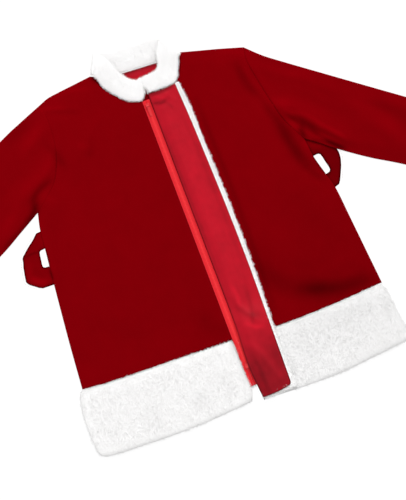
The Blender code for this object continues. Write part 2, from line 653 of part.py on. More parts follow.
def zip_slider(tape_red):
    """Slider on the top of the zip, with two ears and the pin that its pull hangs on."""
    deck = float(upper_base(np.array([0.0, SLIDER_Y]))) + TAPE + GAP
    slider_top = deck + SLIDER_SIZE[2]
    pin_z = slider_top + PIN_ABOVE_SLIDER
    slider = box_mesh("zip_slider", SLIDER_SIZE, (0, SLIDER_Y, deck + SLIDER_SIZE[2] / 2), tape_red)
    ear_z = slider_top + EAR_SIZE[2] / 2 - EAR_ROOT
    for side in (-1, 1):
        ear = box_mesh("ear", EAR_SIZE, (side * EAR_CENTRE_X, SLIDER_Y, ear_z), tape_red)
        boolean(slider, ear, "UNION")
    pin = cylinder_x("pin", PIN_RADIUS, 2 * EAR_CENTRE_X, (0, SLIDER_Y, pin_z), tape_red)
    boolean(slider, pin, "UNION")
    return pin_z


def zip_pull(pin_z, tape_red):
    """Barrel round the pin, a neck between the ears and a flat tab, sloping down to the zip."""
    barrel = cylinder_x("zip_pull", PULL_BARREL, PULL_BARREL_LENGTH, (0, SLIDER_Y, pin_z), tape_red)
    neck_y = SLIDER_Y - PULL_BORE - PULL_NECK / 2
    neck = box_mesh("neck", (PULL_BARREL_LENGTH, PULL_NECK, PULL_SIZE[2]), (0, neck_y, pin_z), tape_red)
    boolean(barrel, neck, "UNION")
    tab_y = neck_y - PULL_NECK / 2 - PULL_SIZE[1] / 2 + PULL_SIZE[2]
    boolean(barrel, box_mesh("tab", PULL_SIZE, (0, tab_y, pin_z), tape_red), "UNION")
    bore = cylinder_x("bore", PULL_BORE, 3 * PULL_BARREL_LENGTH, (0, SLIDER_Y, pin_z), tape_red)
    boolean(barrel, bore, "DIFFERENCE")
    barrel.rotation_euler.x = PULL_SLOPE


def zip_box(tape_red):
    foot = float(upper_base(np.array(BOX_PLACE))) + TAPE + GAP
    box_mesh("zip_box", BOX_SIZE, (*BOX_PLACE, foot + BOX_SIZE[2] / 2), tape_red)


def centre_on_floor():
    """Moves everything so that the middle of the jacket's box is over the origin."""
    bpy.context.view_layer.update()
    graph = bpy.context.evaluated_depsgraph_get()
    corners = []
    for made in PARTS.objects:
        mesh = made.evaluated_get(graph).to_mesh()
        corners += [made.matrix_world @ v.co for v in mesh.vertices]
        made.evaluated_get(graph).to_mesh_clear()
    corners = np.array([c[:] for c in corners])
    middle = (corners.min(axis=0) + corners.max(axis=0)) / 2
    for made in PARTS.objects:
        made.location.x -= middle[0]
        made.location.y -= middle[1]
    print("centred by", middle[:2], "height", corners[:, 2].min(), corners[:, 2].max())


clear_scene()
PARTS = bpy.data.collections.new("santa suit jacket")
CUTTERS = bpy.data.collections.new("cutters")
bpy.context.scene.collection.children.link(PARTS)
bpy.context.scene.collection.children.link(CUTTERS)

velvet = material("velvet", VELVET_RED, 0.8)
fur = material("white fur", FUR_WHITE, 0.95)
satin = material("crimson satin", SATIN_RED, 0.4)
tape_red = material("zip red", ZIP_RED, 0.45)

body_panels(velvet)
sleeve("sleeve_right", SLEEVE_TOP_RIGHT, SLEEVE_UNDER_RIGHT, ARMHOLE_RIGHT, -1, velvet)
sleeve("sleeve_left", SLEEVE_TOP_LEFT, SLEEVE_UNDER_LEFT, ARMHOLE_LEFT, 1, velvet)
hem_bands(fur)
flap(fur, satin)
neck_facing(satin)
collar(fur)
belt_loop("belt_loop_right", LOOP_RIGHT, velvet)
belt_loop("belt_loop_left", LOOP_LEFT, velvet)
zip_tapes(tape_red)
zip_pull(zip_slider(tape_red), tape_red)
zip_box(tape_red)
centre_on_floor()
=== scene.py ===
import json
import math

import bpy
import numpy as np
from mathutils import Matrix, Vector, noise

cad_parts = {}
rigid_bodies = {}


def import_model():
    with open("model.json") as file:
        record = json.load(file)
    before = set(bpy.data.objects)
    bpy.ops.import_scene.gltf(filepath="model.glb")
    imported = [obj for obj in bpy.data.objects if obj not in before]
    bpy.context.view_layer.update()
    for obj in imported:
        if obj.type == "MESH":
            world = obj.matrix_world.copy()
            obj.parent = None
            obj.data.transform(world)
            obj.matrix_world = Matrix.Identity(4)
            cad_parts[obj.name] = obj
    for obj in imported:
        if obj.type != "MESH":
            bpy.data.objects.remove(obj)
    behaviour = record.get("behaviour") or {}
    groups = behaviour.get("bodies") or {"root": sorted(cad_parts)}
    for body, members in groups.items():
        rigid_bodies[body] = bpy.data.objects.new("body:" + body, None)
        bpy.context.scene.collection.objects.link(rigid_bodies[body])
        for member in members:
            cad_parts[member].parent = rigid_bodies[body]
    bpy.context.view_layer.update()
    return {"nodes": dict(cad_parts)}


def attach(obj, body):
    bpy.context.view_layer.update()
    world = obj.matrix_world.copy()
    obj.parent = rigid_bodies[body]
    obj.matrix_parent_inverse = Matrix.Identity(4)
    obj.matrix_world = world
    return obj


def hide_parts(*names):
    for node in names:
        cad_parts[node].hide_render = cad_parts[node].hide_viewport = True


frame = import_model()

print("frame loaded with", len(frame["nodes"]), "solids")

mm = 0.001
zipTop = np.array([5.0, 295.543]) * mm   # the tables count in mm from here, the top of the zip

# Camera, floor and light
studio = {
    "viewCentre": (0.0059, -0.0635),
    "viewHeight": 1.125,
    "roll": 20.8,
    "distance": 12.0,
    "sky": 0.64,
    "keyStrength": 2.25,
    "keyTurn": 69.2,        # the light comes over the top edge of the picture
    "keyHeight": 44,
    "keySoftness": 30,
    "floorSize": 60.0,
    "floorColour": (0.15, 0.15, 0.15),
    "floorGlow": 0.90,     # keeps the floor white under the jacket's soft shadow
}


def deselectAll():
    if bpy.context.object and bpy.context.object.mode != "OBJECT":
        bpy.ops.object.mode_set(mode="OBJECT")
    bpy.ops.object.select_all(action="DESELECT")


def choose(piece):
    deselectAll()
    piece.select_set(True)
    bpy.context.view_layer.objects.active = piece


def setUpStudio():
    deselectAll()
    x, y = studio["viewCentre"]
    bpy.ops.object.camera_add(location=(x, y, studio["distance"]),
                              rotation=(0, 0, -math.radians(studio["roll"])))
    camera = bpy.context.object
    camera.data.sensor_width = 36
    camera.data.lens = 36 * studio["distance"] / studio["viewHeight"]
    camera.data.clip_start = 0.5
    camera.data.clip_end = 200
    bpy.context.scene.camera = camera
    bpy.ops.object.light_add(type="SUN", rotation=(
        math.radians(90 - studio["keyHeight"]), 0, math.radians(studio["keyTurn"] + 90)))
    key = bpy.context.object
    key.data.energy = studio["keyStrength"]
    key.data.angle = math.radians(studio["keySoftness"])
    bpy.ops.mesh.primitive_plane_add(size=studio["floorSize"], location=(0, 0, -0.3 * mm))
    floor = bpy.context.object
    floor.name = "floor"
    paint = bpy.data.materials.new("pale floor")
    paint.use_nodes = True
    shader = paint.node_tree.nodes["Principled BSDF"]
    shader.inputs["Base Color"].default_value = (*studio["floorColour"], 1)
    shader.inputs["Roughness"].default_value = 0.9
    shader.inputs["Specular IOR Level"].default_value = 0.0
    shader.inputs["Emission Color"].default_value = (1, 1, 1, 1)
    shader.inputs["Emission Strength"].default_value = studio["floorGlow"]
    floor.data.materials.append(paint)
    sky = bpy.data.worlds.new("soft sky")
    sky.use_nodes = True
    sky.node_tree.nodes["Background"].inputs["Color"].default_value = (1, 1, 1, 1)
    sky.node_tree.nodes["Background"].inputs["Strength"].default_value = studio["sky"]
    bpy.context.scene.world = sky
    bpy.context.scene.view_settings.view_transform = "Standard"


setUpStudio()
print("studio ready")


# Shader groups that several finishes share

def startGroup(name, inputs, outputs):
    tree = bpy.data.node_groups.new(name, "ShaderNodeTree")
    for label, kind, value in inputs:
        socket = tree.interface.new_socket(label, in_out="INPUT", socket_type=kind)
        if value is not None:
            socket.default_value = value
    for label, kind in outputs:
        tree.interface.new_socket(label, in_out="OUTPUT", socket_type=kind)
    return tree, tree.nodes.new("NodeGroupInput"), tree.nodes.new("NodeGroupOutput")


def addNode(tree, kind, values=None, **settings):
    node = tree.nodes.new(kind)
    for key, value in settings.items():
        setattr(node, key, value)
    for key, value in (values or {}).items():
        node.inputs[key].default_value = value
    return node


def calculate(tree, operation, first, second=None, third=None):
    node = addNode(tree, "ShaderNodeMath", operation=operation)
    for place, value in enumerate((first, second, third)):
        if value is None:
            continue
        if isinstance(value, (int, float)):
            node.inputs[place].default_value = value
        else:
            tree.links.new(value, node.inputs[place])
    return node.outputs[0]


def makePileGroup():
    # cloudy and streaky lightness of a brushed pile, and its fine height
    tree, given, out = startGroup("brushed pile", [
        ("Vector", "NodeSocketVector", None), ("Cloud Scale", "NodeSocketFloat", 12.0),
        ("Streak Scale", "NodeSocketFloat", 160.0), ("Pile Scale", "NodeSocketFloat", 1400.0),
        ("Amount", "NodeSocketFloat", 0.08)],
        [("Shade", "NodeSocketFloat"), ("Height", "NodeSocketFloat")])
    clouds = addNode(tree, "ShaderNodeTexNoise", {"Detail": 4.0, "Roughness": 0.55, "Distortion": 0.4})
    tree.links.new(given.outputs["Vector"], clouds.inputs["Vector"])
    tree.links.new(given.outputs["Cloud Scale"], clouds.inputs["Scale"])
    drawn = addNode(tree, "ShaderNodeMapping", {"Scale": (1.0, 0.22, 1.0)})
    tree.links.new(given.outputs["Vector"], drawn.inputs["Vector"])
    streaks = addNode(tree, "ShaderNodeTexNoise", {"Detail": 3.0, "Roughness": 0.6})
    tree.links.new(drawn.outputs["Vector"], streaks.inputs["Vector"])
    tree.links.new(given.outputs["Streak Scale"], streaks.inputs["Scale"])
    pile = addNode(tree, "ShaderNodeTexNoise", {"Detail": 2.0, "Roughness": 0.7})
    tree.links.new(given.outputs["Vector"], pile.inputs["Vector"])
    tree.links.new(given.outputs["Pile Scale"], pile.inputs["Scale"])
    mixed = calculate(tree, "MULTIPLY_ADD", streaks.outputs["Fac"], 0.45,
                      calculate(tree, "MULTIPLY", clouds.outputs["Fac"], 0.55))
    centred = calculate(tree, "SUBTRACT", mixed, 0.5)
    swing = calculate(tree, "MULTIPLY", centred, calculate(tree, "MULTIPLY", given.outputs["Amount"], 4.0))
    tree.links.new(calculate(tree, "ADD", swing, 1.0), out.inputs["Shade"])
    height = calculate(tree, "MULTIPLY_ADD", pile.outputs["Fac"], 0.6,
                       calculate(tree, "MULTIPLY", streaks.outputs["Fac"], 0.4))
    tree.links.new(height, out.inputs["Height"])
    return tree


def makeWeaveGroup():
    # crossing threads on a piece's own cut, which is laid out in metres
    tree, given, out = startGroup("crossing threads", [
        ("Vector", "NodeSocketVector", None), ("Warp", "NodeSocketFloat", 1200.0),
        ("Weft", "NodeSocketFloat", 900.0), ("Slub", "NodeSocketFloat", 0.2)],
        [("Height", "NodeSocketFloat"), ("Shade", "NodeSocketFloat")])
    apart = addNode(tree, "ShaderNodeSeparateXYZ")
    tree.links.new(given.outputs["Vector"], apart.inputs[0])
    turn = 2 * math.pi
    warp = calculate(tree, "SINE", calculate(tree, "MULTIPLY", calculate(
        tree, "MULTIPLY", apart.outputs["X"], given.outputs["Warp"]), turn))
    weft = calculate(tree, "SINE", calculate(tree, "MULTIPLY", calculate(
        tree, "MULTIPLY", apart.outputs["Y"], given.outputs["Weft"]), turn))
    crossed = calculate(tree, "MULTIPLY", warp, weft)
    tree.links.new(calculate(tree, "MULTIPLY_ADD", crossed, 0.5, 0.5), out.inputs["Height"])
    drawn = addNode(tree, "ShaderNodeMapping", {"Scale": (900.0, 26.0, 1.0)})
    tree.links.new(given.outputs["Vector"], drawn.inputs["Vector"])
    slub = addNode(tree, "ShaderNodeTexNoise", {"Scale": 1.0, "Detail": 2.0})
    tree.links.new(drawn.outputs["Vector"], slub.inputs["Vector"])
    uneven = calculate(tree, "MULTIPLY", calculate(tree, "SUBTRACT", slub.outputs["Fac"], 0.5),
                       given.outputs["Slub"])
    tree.links.new(calculate(tree, "ADD", uneven, 1.0), out.inputs["Shade"])
    return tree


pileGroup = makePileGroup()
weaveGroup = makeWeaveGroup()


def startMaterial(name, colour, roughness, specular=0.0):
    made = bpy.data.materials.new(name)
    made.use_nodes = True
    shader = made.node_tree.nodes["Principled BSDF"]
    shader.inputs["Base Color"].default_value = (*colour, 1)
    shader.inputs["Roughness"].default_value = roughness
    shader.inputs["Specular IOR Level"].default_value = specular
    return made, made.node_tree, shader


def tint(tree, shader, colour, shade):
    # the base colour, made lighter and darker by a value around one
    mixed = addNode(tree, "ShaderNodeVectorMath", operation="SCALE")
    mixed.inputs[0].default_value = colour
    tree.links.new(shade, mixed.inputs["Scale"])
    tree.links.new(mixed.outputs[0], shader.inputs["Base Color"])


def bump(tree, shader, height, distance, strength=1.0, onto=None):
    node = addNode(tree, "ShaderNodeBump", {"Strength": strength, "Distance": distance})
    tree.links.new(height, node.inputs["Height"])
    if onto is not None:
        tree.links.new(onto, node.inputs["Normal"])
    if shader is not None:
        tree.links.new(node.outputs["Normal"], shader.inputs["Normal"])
    return node.outputs["Normal"]


def useGroup(tree, group, vector, values):
    node = tree.nodes.new("ShaderNodeGroup")
    node.node_tree = group
    for key, value in values.items():
        node.inputs[key].default_value = value
    tree.links.new(vector, node.inputs["Vector"])
    return node


def usePile(tree, clouds, streaks, pile, amount):
    place = addNode(tree, "ShaderNodeTexCoord")
    return useGroup(tree, pileGroup, place.outputs["Object"], {
        "Cloud Scale": clouds, "Streak Scale": streaks, "Pile Scale": pile, "Amount": amount})


def useThreads(tree, warp, weft, slub, layout="UV"):
    place = addNode(tree, "ShaderNodeTexCoord")
    return useGroup(tree, weaveGroup, place.outputs[layout], {"Warp": warp, "Weft": weft, "Slub": slub})


def timesPainted(tree, shade, label):
    # a shade, times the lightness that each piece carries under this label
    painted = addNode(tree, "ShaderNodeAttribute", attribute_name=label, attribute_type="GEOMETRY")
    return calculate(tree, "MULTIPLY", shade, painted.outputs["Fac"])


def giveSheen(shader, weight, colour, roughness=0.5):
    shader.inputs["Sheen Weight"].default_value = weight
    shader.inputs["Sheen Tint"].default_value = (*colour, 1)
    shader.inputs["Sheen Roughness"].default_value = roughness


# Each pile counts its clouds, streaks and strands per metre and then its amount, each weave its warp,
# weft and slub. A depth goes with the strength of its bump.
velvetLook = {
    "colour": (0.199, 0.0001, 0.0022), "roughness": 0.9,
    "pile": (9.0, 210.0, 1500.0, 0.035), "depth": (0.35 * mm, 0.6),
    "sheen": (0.22, (0.65, 0.0015, 0.009), 0.45),
}


def makeVelvet():
    look = velvetLook
    made, tree, shader = startMaterial("dark red velvet", look["colour"], look["roughness"])
    pile = usePile(tree, *look["pile"])
    # the colour carries the painted highlights and painted shade stored on each velvet piece
    tint(tree, shader, look["colour"], timesPainted(tree, pile.outputs["Shade"], "napAndPaintedLight"))
    bump(tree, shader, pile.outputs["Height"], *look["depth"])
    giveSheen(shader, *look["sheen"])
    return made


satinLook = {
    "colour": (0.445, 0.0035, 0.0145), "roughness": 0.48, "specular": 0.10,
    "threads": (2100.0, 1500.0, 0.16), "threadDepth": (0.06 * mm, 0.35),
    "crumples": (22.0, 55.0, 900.0, 0.05), "crumpleDepth": (0.5 * mm, 0.5),
    "sheen": (0.05, (0.8, 0.06, 0.09)),
}


def makeSatin():
    look = satinLook
    made, tree, shader = startMaterial("crimson satin", look["colour"], look["roughness"], look["specular"])
    threads = useThreads(tree, *look["threads"])
    crumples = usePile(tree, *look["crumples"])
    uneven = calculate(tree, "MULTIPLY", threads.outputs["Shade"], crumples.outputs["Shade"])
    # the colour carries the satin's painted highlights and painted shade, with its uneven tone
    tint(tree, shader, look["colour"], timesPainted(tree, uneven, "toneAndPaintedLight"))
    folded = bump(tree, None, crumples.outputs["Height"], *look["crumpleDepth"])
    bump(tree, shader, threads.outputs["Height"], *look["threadDepth"], folded)
    giveSheen(shader, *look["sheen"])
    return made


zipLook = {
    "tape": (0.74, 0.0200, 0.0290), "tapeRoughness": 0.75, "tapeSpecular": 0.10,
    "threads": (1500.0, 700.0, 0.12), "threadDepth": (0.2 * mm, 0.6),
    "teeth": (0.86, 0.030, 0.038), "paint": (0.76, 0.024, 0.031),
    "grain": (160.0, 500.0, 3000.0, 0.03), "grainDepth": (0.05 * mm, 0.4),
}


def makeTapeCloth():
    look = zipLook
    made, tree, shader = startMaterial("bright red zip tape", look["tape"], look["tapeRoughness"],
                                       look["tapeSpecular"])
    threads = useThreads(tree, *look["threads"])
    tint(tree, shader, look["tape"], threads.outputs["Shade"])
    bump(tree, shader, threads.outputs["Height"], *look["threadDepth"])
    return made


def makeZipPaint(name, colour, roughness, specular):
    made, tree, shader = startMaterial(name, colour, roughness, specular)
    grain = usePile(tree, *zipLook["grain"])
    tint(tree, shader, colour, grain.outputs["Shade"])
    bump(tree, shader, grain.outputs["Height"], *zipLook["grainDepth"])
    return made


furLook = {
    "colour": (0.990, 0.985, 0.983), "roughness": 0.85, "pile": (26.0, 240.0, 900.0, 0.005),
    "rootShade": 0.97, "rootShare": 0.7, "sheen": (0.12, (1.0, 1.0, 1.0)),
    "backingRoughness": 0.95, "backing": (26.0, 320.0, 1100.0, 0.005), "backingDepth": (1.2 * mm, 0.7),
}


def makeFur():
    look = furLook
    made, tree, shader = startMaterial("white faux fur", look["colour"], look["roughness"])
    pile = usePile(tree, *look["pile"])
    place = addNode(tree, "ShaderNodeTexCoord")
    along = addNode(tree, "ShaderNodeSeparateXYZ")
    tree.links.new(place.outputs["UV"], along.inputs[0])
    tipped = addNode(tree, "ShaderNodeMapRange", {"From Min": 0.0, "From Max": look["rootShare"],
                                                  "To Min": look["rootShade"], "To Max": 1.0})
    tree.links.new(along.outputs["Y"], tipped.inputs["Value"])
    uneven = calculate(tree, "MULTIPLY", tipped.outputs["Result"], pile.outputs["Shade"])
    # the colour carries the painted shade stored on each fur piece
    tint(tree, shader, look["colour"], timesPainted(tree, uneven, "toneAndPaintedShade"))
    giveSheen(shader, *look["sheen"])
    return made


def makeFurBacking():
    look = furLook
    made, tree, shader = startMaterial("fur underlayer", look["colour"], look["backingRoughness"])
    pile = usePile(tree, *look["backing"])
    # the colour carries the painted shade stored on each fur piece
    tint(tree, shader, look["colour"], timesPainted(tree, pile.outputs["Shade"], "toneAndPaintedShade"))
    bump(tree, shader, pile.outputs["Height"], *look["backingDepth"])
    return made


threadLook = {
    "onSatin": (0.40, 0.004, 0.014), "onVelvet": (0.17, 0.0004, 0.0030), "roughness": 0.6, "specular": 0.15,
    "threads": (2500.0, 2500.0, 0.3), "depth": (0.05 * mm, 0.5),
}


def makeThread(name, colour):
    look = threadLook
    made, tree, shader = startMaterial(name, colour, look["roughness"], look["specular"])
    threads = useThreads(tree, *look["threads"], layout="Object")
    tint(tree, shader, colour, threads.outputs["Shade"])
    bump(tree, shader, threads.outputs["Height"], *look["depth"])
    return made


velvet = makeVelvet()
satin = makeSatin()
tape = makeTapeCloth()
teethPlastic = makeZipPaint("red zip teeth", zipLook["teeth"], 0.45, 0.25)
zipPaint = makeZipPaint("red zip enamel", zipLook["paint"], 0.32, 0.5)
fur = makeFur()
furBacking = makeFurBacking()
satinThread = makeThread("crimson sewing thread", threadLook["onSatin"])
velvetThread = makeThread("dark red sewing thread", threadLook["onVelvet"])
print("materials ready")


# Seam lines of the laid jacket, x along the hem and y up to the collar
bodyCut = {
    "shoulderRight": ((-98.5, 96), (-136, 92), (-174, 88), (-204, 84), (-226, 76)),
    "armholeRight": ((-226, 76), (-221, 40), (-224, -5), (-236, -55), (-262, -102), (-317, -149)),
    "sideRight": ((-317, -149), (-326, -188), (-331, -235), (-340, -312), (-355, -453), (-364, -556)),
    "hemRight": ((-364, -556), (-300, -562), (-157, -567), (-9.3, -571)),
    "shoulderLeft": ((111, 75), (148, 64.5), (196, 51), (248, 35)),
    "armholeLeft": ((248, 35), (243, 5), (250, -38), (262, -98), (276, -152), (303, -206)),
    "sideLeft": ((303, -206), (308, -250), (320, -296), (330, -336), (337, -411), (351, -570)),
    "hemLeft": ((9.3, -573), (96, -578), (223, -577), (351, -570)),
    "edgeRight": ((-9.3, -571), (-9.3, -280), (-9.3, 0)),
    "edgeLeft": ((9.3, -573), (9.3, -280), (9.3, 13)),
    "neckRight": ((-9.3, 0), (-44, 16), (-77.5, 55), (-90, 79), (-98.5, 96)),
    "neckLeft": ((9.3, 13), (45, 11.5), (82, 17), (98, 40), (111, 75)),
    "neckBack": ((-98.5, 96), (-60, 80.5), (0, 75), (62, 71), (95, 69), (111, 75)),
    "hemBack": ((-364, -556), (-157, -567), (60, -577), (223, -577), (351, -570)),
}

sleeveCut = {
    "topRight": ((-226, 76), (-283, 54), (-340, 30), (-545, -65), (-745, -185)),
    "underRight": ((-317, -149), (-369, -178), (-430, -211), (-560, -268), (-674, -322)),
    "topLeft": ((248, 35), (280, 4), (313, -22), (389, -79), (550, -199), (735, -335)),
    "underLeft": ((303, -206), (330, -226), (363, -253), (426, -298), (496, -342), (652, -448)),
}

# How the layers lie on each other, in mm
layers = {
    "back": 2.0, "gap": 0.3, "air": 2.6, "edgeReach": 34, "velvet": 2.0,
    "hemSeam": -560, "hemClimb": 75, "overHem": 8.3, "underFlap": 6.0,
    "laidOn": 0.6, "flapFur": 5.5, "tape": 1.2,
    "sleeveOverLoop": (333, -226, 40, 64, 3.6),   # x, y, where it is level, its reach and its height
}

# Folds of the upper layer. Columns: start x, y; middle x, y; end x, y; half width; height.
mainFolds = (
    (223, -22, 240, -77, 256, -124, 15, -2.0),
    (243, 15, 254, -50, 270, -116, 12, 2.5),
    (256, -124, 272, -200, 318, -318, 19, -2.4),
    (278, -110, 330, -160, 398, -252, 17, 7.0),
    (292, -150, 315, -192, 348, -232, 11, -2.4),
    (290, -165, 296, -215, 312, -262, 12, 2.4),
    (-233, -30, -285, -72, -356, -110, 20, 5.5),
    (-262, -88, -290, -104, -330, -128, 12, -2.4),
    (-238, 26, -262, 12, -300, -12, 18, 3.2),
    (-93, 14, -150, -26, -205, -88, 28, 2.6),
    (-212, -20, -232, -60, -250, -118, 13, -2.0),
    (113, -413, 160, -500, 300, -545, 30, -2.2),
    (120, -360, 200, -462, 335, -500, 34, 2.6),
    (-395, -30, -450, -88, -520, -120, 24, 4.5),
    (-560, -95, -600, -150, -640, -250, 20, 3.6),
    (430, -170, 470, -215, 500, -280, 22, 4.2),
    (560, -260, 590, -300, 600, -370, 20, 3.6),
)

# Creases too small for the solids, in the same columns
smallCreases = (
    (262, -150, 275, -215, 296, -282, 7, -1.4),
    (303, -166, 333, -213, 357, -244, 6, -2.2),
    (279, -122, 288, -140, 300, -152, 5, 1.3),
    (283, -140, 291, -160, 303, -178, 5, -1.5),
    (300, -150, 307, -170, 320, -188, 5, 1.4),
    (270, -128, 281, -150, 287, -176, 6, 1.1),
    (306, -140, 345, -178, 386, -222, 6, -0.9),
    (330, -120, 372, -158, 420, -196, 16, -1.4),
    (270, -20, 330, -70, 402, -128, 16, 1.1),
    (262, 10, 300, -30, 344, -62, 8, -0.8),
    (300, -60, 352, -96, 398, -150, 10, -0.8),
    (-300, -118, -320, -136, -338, -152, 7, -2.6),
    (-228, -38, -232, -58, -238, -76, 8, -1.5),
    (-250, -44, -292, -82, -345, -118, 7, -0.9),
    (-217, 68, -182, 51, -146, 34, 9, 1.2),
    (-216, 54, -180, 36, -150, 22, 9, -0.9),
    (-110, 2, -150, -30, -196, -74, 8, 0.8),
    (-262, 40, -320, 8, -372, -22, 9, -1.0),
    (-330, -60, -380, -96, -440, -118, 12, -1.3),
    (-318, -160, -328, -200, -334, -240, 9, 1.1),
    (-60, -40, -70, -160, -62, -300, 40, 0.9),
    (-180, -150, -210, -260, -230, -420, 46, 1.0),
    (-120, -240, -150, -340, -140, -480, 38, -0.9),
    (-40, -420, -60, -490, -30, -550, 26, -1.2),
    (130, -60, 150, -150, 146, -260, 34, 0.9),
    (170, -180, 190, -290, 236, -400, 36, -0.9),
    (220, -250, 262, -330, 300, -420, 26, 1.0),
    (190, -480, 236, -522, 296, -534, 10, 0.9),
    (96, -470, 130, -520, 150, -560, 14, -1.0),
    (-420, -70, -470, -120, -540, -170, 14, -1.4),
    (-500, -80, -560, -140, -590, -210, 12, 1.2),
    (-600, -130, -640, -190, -650, -270, 14, -1.3),
    (-660, -170, -690, -220, -690, -290, 12, 1.0),
    (420, -150, 470, -190, 520, -250, 12, -1.2),
    (500, -190, 540, -240, 550, -330, 16, 1.4),
    (590, -270, 630, -320, 634, -400, 14, -1.2),
    (650, -320, 680, -360, 670, -420, 12, 1.0),
)
foldFade = 0.6

# Painted light on the velvet: painted highlights on its fold ridges and painted shade in its creases, beside
# the flap and under the sleeves, with some lighter and darker nap. In the same columns, with a share of the
# velvet's lightness
napAndPaintedLightRows = (
    (220, 5, 224, -40, 240, -78, 11, -0.22),
    (232, 0, 243, -50, 262, -105, 7, 0.16),
    (262, -104, 280, -112, 298, -122, 12, 0.20),
    (246, -100, 252, -125, 262, -150, 9, -0.18),
    (262, -150, 270, -205, 282, -258, 13, -0.42),
    (282, -258, 292, -280, 310, -305, 9, -0.20),
    (282, -133, 320, -152, 352, -190, 6, 0.22),
    (345, -187, 366, -208, 392, -240, 6, 0.22),
    (280, -146, 310, -162, 336, -200, 7, -0.24),
    (310, -176, 326, -190, 340, -212, 8, -0.14),
    (300, -178, 303, -196, 308, -206, 6, -0.30),
    (344, -225, 356, -236, 380, -258, 6, -0.62),
    (318, -214, 330, -222, 342, -228, 5, -0.24),
    (284, -158, 292, -168, 298, -184, 6, 0.12),
    (300, -215, 316, -227, 336, -236, 7, 0.22),
    (190, 45, 222, 35, 262, 12, 5, 0.12),
    (320, -62, 345, -58, 372, -74, 7, 0.06),
    (-238, -25, -262, -62, -345, -108, 12, 0.16),
    (-345, -108, -375, -140, -420, -180, 12, 0.10),
    (-262, -92, -292, -100, -322, -118, 7, -0.26),
    (-314, -122, -324, -146, -352, -166, 9, -0.60),
    (-352, -166, -385, -182, -420, -200, 6, -0.35),
    (-244, 26, -272, 8, -306, -18, 13, 0.14),
    (-262, 46, -292, 38, -318, 22, 12, -0.10),
    (-246, -8, -234, -40, -222, -72, 10, -0.18),
    (-150, -50, -158, -62, -166, -72, 9, -0.10),
    (-176, -38, -166, -46, -156, -50, 9, 0.10),
    (-232, 68, -206, 60, -176, 48, 5, 0.18),
    (-200, 78, -150, 82, -110, 72, 5, 0.12),
    (-322, -160, -328, -210, -336, -300, 8, 0.07),
    (-296, -112, -284, -126, -270, -140, 8, 0.08),
    (108, -430, 150, -505, 235, -535, 24, -0.22),
    (180, -520, 250, -545, 330, -552, 18, -0.34),
    (106, -40, 110, -280, 104, -540, 7, -0.22),
    (-60, -500, -30, -540, -16, -560, 26, -0.12),
    (130, -420, 200, -500, 330, -470, 18, 0.05),
    (-385, -282, -368, -296, -350, -302, 9, 0.35),
    (-337, -276, -337, -288, -338, -302, 4, -0.35),
    (-380, -232, -360, -231, -348, -232, 3, -0.25),
    (-330, -231, -332, -251, -335, -270, 3.2, -0.50),
    (308, -250, 313, -272, 319.5, -296, 3.2, -0.50),
    (312, -168, 306, -188, 303, -205, 5, -0.26),
    (-372, -250, -380, -265, -385, -275, 7, 0.12),
    (-440, -110, -500, -160, -560, -190, 20, -0.10),
    (-520, -150, -580, -190, -640, -280, 16, 0.12),
    (430, -190, 480, -240, 520, -300, 16, 0.12),
    (470, -180, 540, -240, 560, -340, 14, -0.12),
    (600, -300, 630, -340, 620, -410, 14, 0.10),
)


def smoothStep(low, high, value):
    share = np.clip((value - low) / (high - low), 0.0, 1.0)
    return share * share * (3.0 - 2.0 * share)


def bell(away, reach):
    # one in the middle, fading out over this reach
    return np.exp(-(away / reach) ** 2)


def domed(away, radius):
    # how full a rounded edge is: nothing at the edge itself, one from this radius inwards
    return np.sqrt(1.0 - np.clip(1.0 - away / radius, 0.0, 1.0) ** 2)


def curveThrough(table, shares):
    # points at these shares of the length of a smooth curve through the rows, in mm
    corners = np.array(table, float)
    padded = np.vstack([2 * corners[0] - corners[1], corners, 2 * corners[-1] - corners[-2]])
    along = np.linspace(0.0, 1.0, 25)[:-1, None]
    fine = []
    for before, start, end, after in zip(padded, padded[1:], padded[2:], padded[3:]):
        fine.append(0.5 * (2 * start + (end - before) * along
                           + (2 * before - 5 * start + 4 * end - after) * along ** 2
                           + (3 * start - before - 3 * end + after) * along ** 3))
    fine = np.vstack([*fine, corners[-1:]])
    reached = np.concatenate([[0.0], np.cumsum(np.linalg.norm(np.diff(fine, axis=0), axis=1))])
    wanted = np.asarray(shares) * reached[-1]
    return np.stack([np.interp(wanted, reached, fine[:, k]) for k in range(corners.shape[1])], axis=1)


def joinLines(*lines):
    return np.vstack([lines[0], *[line[1:] for line in lines[1:]]])


def shareOf(line):
    reached = np.concatenate([[0.0], np.cumsum(np.linalg.norm(np.diff(line, axis=0), axis=1))])
    return reached / reached[-1]


def fillBetween(low, high, first, last):
    # points between four edge lines: low and high run across, first and last run up
    s = ((shareOf(low) + shareOf(high)) / 2)[None, :, None]
    t = ((shareOf(first) + shareOf(last)) / 2)[:, None, None]
    between = (1 - t) * low[None] + t * high[None] + (1 - s) * first[:, None] + s * last[:, None]
    corners = (1 - t) * ((1 - s) * low[0] + s * low[-1]) + t * ((1 - s) * high[0] + s * high[-1])
    return between - corners


edgeSteps = np.array([0.0, 0.6, 1.3, 2.2, 3.4, 5.2])   # mm from an edge, where it rolls over


def bothEnds(length, count):
    near = edgeSteps / length
    return np.concatenate([near[:-1], np.linspace(near[-1], 1 - near[-1], count), 1 - near[:-1][::-1]])


def lastEnd(length, count):
    near = edgeSteps / length
    return np.concatenate([np.linspace(0, 1 - near[-1], count), 1 - near[:-1][::-1]])


def edgeOf(grid):
    # the line all round a grid
    return np.vstack([grid[0], grid[1:, -1], grid[-1, -2::-1], grid[-2:0:-1, 0], grid[:1, 0]])


